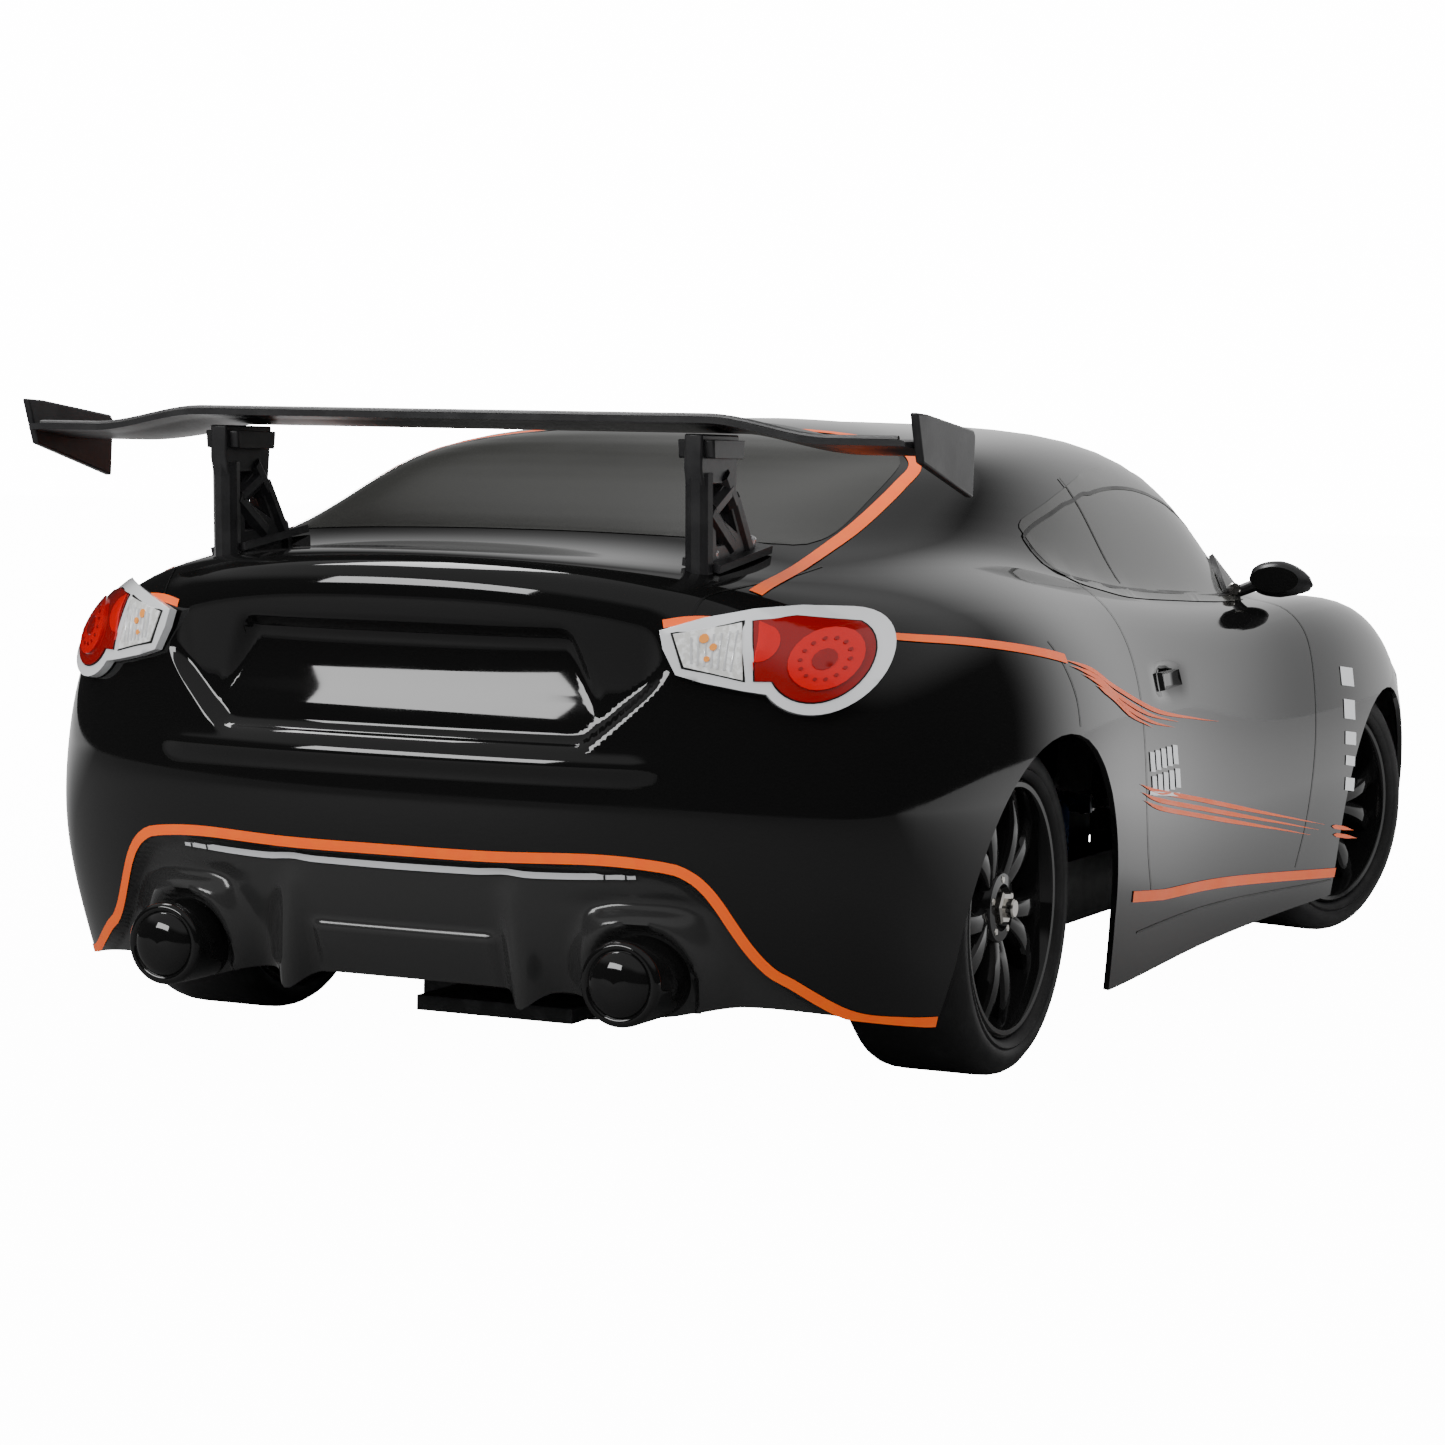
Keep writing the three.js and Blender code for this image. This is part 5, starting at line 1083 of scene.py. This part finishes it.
# ---- Wheels: drawn around the Y axis, outer face towards +Y ----
def rim_part():
    half, r = RIM_HALF, RIM_R
    barrel = lathe([
        (r, half - 0.6), (r - 0.6, half), (r - 1.5, half - 0.1), (r - 1.9, half - 0.8), (r - 2.0, half - 3.0),
        (r - 3.2, half - 6.0), (r - 3.4, -half + 3), (r - 2.4, -half), (r - 0.4, -half), (r, -half + 0.5),
    ][::-1], 120)
    hub = lathe([(1e-3, half - 4.0), (3.6, half - 4.0), (3.9, half - 3.6), (4.6, half - 2.2),
                 (6.6, half - 2.4),
                 (7.6, half - 3.6), (7.8, half - 9), (6, -6.0), (1e-3, -6.0)], 64)
    arms = []
    for spoke in range(5):
        middle = 2 * math.pi * spoke / 5
        for fork in (-1, 1):
            path = []
            for t in np.linspace(0, 1, 15):
                radius = 5.2 + (r - 1.7 - 5.2) * t
                spread = fork * (0.13 + 0.15 * t)
                angle = middle + spread
                dish = half - 3.2 + 1.6 * math.sin(math.pi * t * 0.9) - 0.7 * t
                path.append((radius, angle, dish, 1.9 + 0.6 * t, 3.6 - 1.0 * t))
            arms.append(spoke_arm(path))
    bolts = []
    for k in range(5):
        a = 2 * math.pi * (k + 0.5) / 5
        spot = Matrix.Translation(Vector((5.4 * math.sin(a), half - 3.1, 5.4 * math.cos(a))))
        bolts.append(moved(disc(0.85, 0, 1.0, 0.2, 6), spot))
    return merged([barrel, hub, *arms]), merged(bolts)


def spoke_arm(path):
    """A rounded bar along (radius, angle, face height, half width, depth) stations."""
    verts = []
    shape = [(-1, -1), (-1, -0.25), (-0.72, 0.0), (0.0, 0.12), (0.72, 0.0), (1, -0.25), (1, -1)]
    for radius, angle, face, half, depth in path:
        out = Vector((math.sin(angle), 0, math.cos(angle)))
        side = Vector((math.cos(angle), 0, -math.sin(angle)))
        for across, up in shape:
            rise = face + (up * depth if up < 0 else up * 2)
            verts.append(out * radius + side * half * across + Vector((0, rise, 0)))
    return verts, strips(len(path), len(shape))


def tyre_part():
    half, r, seat = TYRE_WIDTH / 2, TYRE_R, RIM_R + 0.25
    right = [(seat, half - 1.6), (seat + 0.7, half - 0.5), (seat + 1.6, half - 0.15),
             (seat + 2.0, half - 0.5),
             (seat + 2.5, half - 0.1), (seat + 4.4, half), (r - 2.2, half - 0.5), (r - 1.2, half - 1.3),
             (r - 0.5, half - 2.5), (r - 0.12, half - 4.0), (r, half - 6.0)]
    profile = [(radius, -y) for radius, y in right] + right[::-1]
    return lathe(profile[::-1], 144)


def wheels():
    rim, bolts = rim_part()
    tyre = tyre_part()
    half = RIM_HALF
    nut = moved(disc(3.5, 0, 2.9, 0.4, 6), Matrix.Translation(Vector((0, half - 4.2, 0))))
    flange = moved(disc(4.5, 0, 0.8, 0.25, 40), Matrix.Translation(Vector((0, half - 4.3, 0))))
    axle = moved(disc(1.9, 0, 4.4, 0.3, 32), Matrix.Translation(Vector((0, half - 4.0, 0))))
    hardware = merged([nut, flange, axle])
    # a cross pin and hex drive show between the spokes, behind the face
    pin = tube([(-7.5, half - 8.2, 0), (7.5, half - 8.2, 0)], 1.0, 16)
    drive = moved(disc(6.6, 0, 2.6, 0.4, 6), Matrix.Translation(Vector((0, half - 12.4, 0))))
    for end, axle_x in (("front", FRONT_X), ("rear", REAR_X)):
        for side, sign in SIDES:
            label = f"{end}_{side}"
            hub = Matrix.Translation(Vector((axle_x, sign * KINGPIN_Y, 0)))
            if end == "front":
                hub = hub @ Matrix.Rotation(-REST_STEER, 4, "Z")
            spin = Matrix.Rotation({"front_right": 0.30, "rear_right": 0.62}.get(label, 0.1), 4, "Y")
            at = hub @ Matrix.Translation(Vector((0, sign * (WHEEL_Y - KINGPIN_Y), AXLE_Z))) @ spin
            at = at @ (Matrix.Identity(4) if sign > 0 else MIRROR)
            body = f"wheel_{label}"
            piece = make(f"rim_skin_{label}", *moved(rim, at), RIM_BLACK, body, "rim_gloss", sharp=38)
            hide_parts(f"rim_{label}")
            if end == "rear":
                make(f"stub_axle_{label}", *moved(rear_axle(), at), STEEL, body, "steel")
            make(f"rim_bolts_{label}", *moved(bolts, at), BRIGHT, body, sharp=30)
            make(f"wheel_nut_{label}", *moved(hardware, at), BRIGHT, body, sharp=30)
            make(f"wheel_pin_{label}", *moved(merged([pin, drive]), at), STEEL, body, sharp=30)
            piece = make(f"tyre_skin_{label}", *moved(tyre, at), RUBBER, body, "tyre_rubber", sharp=50)
            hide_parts(f"tyre_{label}")


def rear_axle():
    """The stub axle through the carrier, with the cup for the driveshaft's ball."""
    return lathe([(3.6, -30.5), (5.0, -30.2), (5.0, -21.0), (3.0, -20.4), (3.0, 6), (1e-3, 6), (1e-3, -22),
                  (3.5, -22)], 32)


wheels()


# ---- Chassis: the CAD pieces with rounded edges, and the parts that only show ----
def soften(node, look, width=0.3):
    """A copy of a CAD node with bevelled edges that stands for it."""
    source = frame["nodes"][node]
    body = next(b for b, names in frame["record"]["behaviour"]["bodies"].items() if node in names)
    mesh = source.data.copy()
    mesh.materials.clear()
    mesh.materials.append(look)
    work = bmesh.new()
    work.from_mesh(mesh)
    bmesh.ops.remove_doubles(work, verts=work.verts, dist=0.005 * MM)
    bmesh.ops.dissolve_limit(work, angle_limit=math.radians(1), verts=work.verts, edges=work.edges)
    work.to_mesh(mesh)
    work.free()
    piece = place(f"{node}_finish", mesh, body, sharp=30)
    piece.matrix_world = source.matrix_world.copy()
    bevelled(piece, width, angle=32)
    piece.data.shade_smooth()
    piece.data.set_sharp_from_angle(angle=math.radians(40))
    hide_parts(node)


def chassis():
    looks = {
        "chassis_tub": NYLON, "rear_gearbox": NYLON, "front_shock_tower": NYLON, "rear_shock_tower": NYLON,
        "battery_strap": NYLON, "receiver": NYLON, "steering_servo": SATIN, "bumper_foam": FOAM,
        "battery_pack": WRAP, "speed_controller": ORANGE_ALLOY, "motor_can": ORANGE_ALLOY,
        "steering_rack": ALLOY, "servo_horn": ALLOY,
    }
    wide = {"bumper_foam": 2.5, "battery_pack": 3.0, "speed_controller": 0.8, "steering_servo": 0.6,
            "motor_can": 0.9}
    for node, look in looks.items():
        soften(node, look, wide.get(node, 0.3))
    for side, _ in SIDES:
        soften(f"tie_rod_{side}", STEEL, 0.2)
        soften(f"driveshaft_{side}", STEEL, 0.3)
        soften(f"knuckle_front_{side}", NYLON, 0.3)
        for end in ("front", "rear"):
            label = f"{end}_{side}"
            soften(f"lower_arm_{label}", NYLON, 0.4)
            soften(f"carrier_{label}", NYLON, 0.3)
            soften(f"upper_link_{label}", STEEL, 0.25)
    for node, look in (("rear_spool", STEEL), ("motor_pinion", BRIGHT), ("layshaft", NYLON)):
        gear = frame["nodes"][node]
        gear.data.materials.clear()
        gear.data.materials.append(look)


def dampers():
    """Smooth dampers, with a coil spring that rides on no body."""
    lean = DAMPER_FOOT[0] - DAMPER_TOP[0]
    drop = DAMPER_TOP[1] - DAMPER_FOOT[1]
    span, tilt = math.hypot(lean, drop), math.atan2(lean, drop)
    upright = Matrix.Rotation(-math.pi / 2, 4, "X")

    def along(profile, sides=40):
        return moved(lathe(profile, sides), upright)

    def eye(z, outer, bore):
        ring = lathe([(bore, -2), (outer, -2), (outer, 2), (bore, 2)], 28)
        return moved(ring, Matrix.Translation(Vector((0, 0, z))) @ Matrix.Rotation(math.pi / 2, 4, "Z"))

    can = along([(1.8, 30), (4.4, 30), (5.0, 29.4), (5.0, 27), (4.6, 26.6), (4.6, 12), (5.2, 11.6),
                 (5.2, 8.4), (4.2, 8.0),
                 (4.8, 7.4), (4.8, 5.2), (3.2, 4.5), (1.8, 4.5)][::-1])
    collar = along([(4.7, 11.8), (5.6, 11.8), (5.6, 9.0), (4.7, 9.0)][::-1], 32)
    neck = tube([(0, 0, -5), (0, 0, -2.6)], 2.2, 16)
    body_part = merged([can, neck, eye(0, 3.2, 1.7)])
    rod = tube([(0, 0, -span + 2.6), (0, 0, -20)], 1.3, 16)
    seat = along([(1.2, span - 4.2), (4.2, span - 4.2), (5.4, span - 5.0), (5.4, span - 6.6),
                  (1.2, span - 6.6)][::-1])
    shank = tube([(0, 0, -span + 2.6), (0, 0, -span + 5.4)], 2.1, 14)
    rod_part = merged([rod, seat, shank, eye(-span, 3.2, 1.9)])
    turns, top, low = 7.5, -12.6, -span + 7.6
    coil = []
    for i in range(int(turns * 22) + 1):
        a = 2 * math.pi * i / 22
        coil.append((6.0 * math.cos(a), 6.0 * math.sin(a), top + (low - top) * i / (turns * 22)))
    spring = tube(coil, 0.65, 8)
    for end, dir_x, axle_x in (("front", 1, FRONT_X), ("rear", -1, REAR_X)):
        for side, sign in SIDES:
            label = f"{end}_{side}"
            flip = Matrix.Diagonal((dir_x, sign, 1, 1))
            at = Matrix.Translation(Vector((axle_x, 0, 0))) @ flip
            at = at @ Matrix.Translation(Vector((DAMPER_X, *DAMPER_TOP))) @ Matrix.Rotation(tilt, 4, "X")
            piece = make(f"damper_can_{label}", *moved(body_part, at), ALLOY, f"damper_{label}", sharp=35)
            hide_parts(f"damper_body_{label}")
            make(f"damper_collar_{label}", *moved(collar, at), ORANGE_ALLOY, f"damper_{label}", sharp=35)
            piece = make(f"damper_foot_{label}", *moved(rod_part, at), STEEL, f"damper_rod_{label}", sharp=35)
            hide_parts(f"damper_rod_{label}")
            piece = make(f"coil_spring_{label}", *moved(spring, at), ORANGE_ALLOY, None)
            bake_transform(piece)


def fittings():
    """Motor end bell, windings, cooling fins, labels, magnets and screws."""
    motor_x, motor_z = -84.2, 31.5
    bell = Matrix.Translation(Vector((motor_x, -33.2, motor_z)))
    make("motor_end_bell", *moved(disc(17.4, 0, 5, 1.2, 64), bell), NYLON, "chassis", sharp=35)
    slots = []
    for k in range(8):
        a = 2 * math.pi * k / 8
        spot = (motor_x + 12.2 * math.cos(a), motor_z + 12.2 * math.sin(a))
        slots.append(tube([(spot[0], -33.6, spot[1]), (spot[0], -33.0, spot[1])], 2.2, 16))
    make("motor_windings", *merged(slots), COPPER, "chassis", sharp=35)
    band = lathe([(18.15, -20), (18.15, 6), (17.9, 6), (17.9, -20)], 96)
    make("motor_band", *moved(band, Matrix.Translation(Vector((motor_x, 0, motor_z)))), SATIN, "chassis",
         sharp=35)
    lo, hi = (v * 1000 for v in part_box("speed_controller"))
    fins = []
    for k in range(9):
        x = lo.x + 3 + k * (hi.x - lo.x - 6) / 8
        fins.append(tube([(x, lo.y + 3, hi.z + 0.2), (x, hi.y - 3, hi.z + 0.2)], 0.7, 10))
    make("controller_fins", *merged(fins), ORANGE_ALLOY, "chassis", sharp=35)
    lo, hi = (v * 1000 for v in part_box("battery_pack"))
    label = [(lo.x + 10, lo.y + 8), (lo.x + 36, lo.y + 8), (lo.x + 30, hi.y - 8), (lo.x + 10, hi.y - 8)]
    verts = [(x, y, hi.z + 0.06) for x, y in label]
    make("battery_label", verts, [[0, 1, 2, 3]], ORANGE, "chassis")
    for tower, dir_x, axle_x in (("front", 1, FRONT_X), ("rear", -1, REAR_X)):
        lo, hi = (v * 1000 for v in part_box(f"{tower}_shock_tower"))
        for side, sign in SIDES:
            spot = Matrix.Translation(Vector((axle_x + dir_x * 25, sign * 28,
                                              hi.z))) @ Matrix.Rotation(math.pi / 2, 4, "X")
            make(f"magnet_{tower}_{side}", *moved(disc(3.4, -0.2, 0.5, 0.15, 40), spot), BRIGHT, "chassis")
            for k, (y, z) in enumerate(((36, 70), (8, 20))):
                screw_at(f"tower_screw_{tower}_{side}_{k}", (axle_x + dir_x * 26.5, sign * y, z),
                         (dir_x, 0, 0), 2.0,
                         "chassis", STEEL)
    for i, x in enumerate((-150, -120, -60, -20, 20, 60, 112, 150)):
        for side, sign in SIDES:
            screw_at(f"floor_screw_{i}_{side}", (x, sign * 12, 9.05), (0, 0, -1), 2.2, "chassis", STEEL)


chassis()
dampers()
fittings()


# ---- Studio ----
BACKDROP = 14.0  # brightness of the floor and sky in the picture itself
SKY_AHEAD = (0.77, 0.97)
SKY_ABOVE = (0.34, 0.60, 0.42)
SKY_DARK = 0.02
SKY_FILL = 1.5
# floor colour behind and ahead of the car: painted shade, for the paint's reflections
FLOOR_PAINTED_SHADE = (0.12, 0.62)


def floor_painted_shade(tree):
    """Paints light and shade into the floor's colour: pale ahead of the car and darker behind it, as the
    paint's reflections show it.
    """
    place = next(n for n in tree.nodes if n.type == "TEX_COORD")
    split = tree.nodes.new("ShaderNodeSeparateXYZ")
    tree.links.new(place.outputs["Object"], split.inputs[0])
    level = tree.nodes.new("ShaderNodeMapRange")
    level.inputs["From Min"].default_value = -0.1
    level.inputs["From Max"].default_value = 0.5
    level.inputs["To Min"].default_value = FLOOR_PAINTED_SHADE[0]
    level.inputs["To Max"].default_value = FLOOR_PAINTED_SHADE[1]
    tree.links.new(split.outputs["X"], level.inputs["Value"])
    tree.links.new(level.outputs["Result"], tree.nodes["Principled BSDF"].inputs["Base Color"])


def whitened(tree):
    """Adds a glow that only the picture itself sees, so that the floor meets the white sky unseen."""
    glow = tree.nodes.new("ShaderNodeEmission")
    rays = tree.nodes.new("ShaderNodeLightPath")
    scale = tree.nodes.new("ShaderNodeMath")
    scale.operation = "MULTIPLY"
    scale.inputs[1].default_value = BACKDROP
    tree.links.new(rays.outputs["Is Camera Ray"], scale.inputs[0])
    tree.links.new(scale.outputs[0], glow.inputs["Strength"])
    both = tree.nodes.new("ShaderNodeAddShader")
    tree.links.new(tree.nodes["Principled BSDF"].outputs[0], both.inputs[0])
    tree.links.new(glow.outputs[0], both.inputs[1])
    tree.links.new(both.outputs[0], tree.nodes["Material Output"].inputs["Surface"])


def studio():
    size = 6.0
    floor_mesh = bpy.data.meshes.new("floor")
    floor_mesh.from_pydata([(-size, -size, 0), (size, -size, 0), (size, size, 0), (-size, size, 0)], [],
                           [(0, 1, 2, 3)])
    floor_look = material("floor_pale", (0.24, 0.24, 0.24), 0.8, grain=0.01, grain_size=5)
    floor_mesh.materials.append(floor_look)
    whitened(floor_look.node_tree)
    # the floor's colour carries painted shade behind the car and painted light ahead of it
    floor_painted_shade(floor_look.node_tree)
    floor = bpy.data.objects.new("floor", floor_mesh)
    floor.location.z = -0.0002
    bpy.context.scene.collection.objects.link(floor)

    world = bpy.data.worlds.new("studio")
    bpy.context.scene.world = world
    world.use_nodes = True
    nodes, links = world.node_tree.nodes, world.node_tree.links
    nodes.clear()
    out = nodes.new("ShaderNodeOutputWorld")
    sky = nodes.new("ShaderNodeBackground")
    sky.inputs["Color"].default_value = (1, 1, 1, 1)
    links.new(sky.outputs[0], out.inputs[0])
    place = nodes.new("ShaderNodeTexCoord")
    way = nodes.new("ShaderNodeSeparateXYZ")
    links.new(place.outputs["Generated"], way.inputs[0])

    def ramp(socket, low, high, least, most):
        node = nodes.new("ShaderNodeMapRange")
        node.interpolation_type = "SMOOTHSTEP"
        for name, value in zip(("From Min", "From Max", "To Min", "To Max"), (low, high, least, most)):
            node.inputs[name].default_value = value
        links.new(socket, node.inputs["Value"])
        return node.outputs["Result"]

    def combined(kind, first, second):
        node = nodes.new("ShaderNodeMath")
        node.operation = kind
        for socket, value in zip(node.inputs, (first, second)):
            if isinstance(value, (int, float)):
                socket.default_value = value
            else:
                links.new(value, socket)
        return node.outputs[0]

    # in the paint's reflections the sky is bright ahead and above, and dark behind and beside the car
    ahead = ramp(way.outputs["X"], SKY_AHEAD[0], SKY_AHEAD[1], 0.0, 1.0)
    above = ramp(way.outputs["Z"], SKY_ABOVE[0], SKY_ABOVE[1], 0.0, SKY_ABOVE[2])
    mirrored = combined("MAXIMUM", combined("MAXIMUM", ahead, above), SKY_DARK)
    rays = nodes.new("ShaderNodeLightPath")
    glossy, seen = rays.outputs["Is Glossy Ray"], rays.outputs["Is Camera Ray"]
    other = combined("MULTIPLY", combined("SUBTRACT", 1.0, glossy), SKY_FILL)
    soft = combined("ADD", combined("MULTIPLY", mirrored, glossy), other)
    strength = combined("ADD", soft, combined("MULTIPLY", seen, BACKDROP))
    links.new(strength, sky.inputs["Strength"])

    def soft_box(name, position, target, width, height, power):
        light = bpy.data.lights.new(name, "AREA")
        light.shape, light.size, light.size_y, light.energy = "RECTANGLE", width, height, power
        lamp = bpy.data.objects.new(name, light)
        lamp.location = position
        way = Vector(target) - Vector(position)
        lamp.rotation_euler = way.to_track_quat("-Z", "Y").to_euler()
        bpy.context.scene.collection.objects.link(lamp)

    soft_box("lip_light", (0.15, 0.75, 1.6), (-0.2, 0, 0.1), 0.95, 0.4, 16)
    soft_box("plate_light", (-1.53, 0.654, 0.74), (-0.21, 0, 0.08), 0.8, 0.36, 12)


studio()
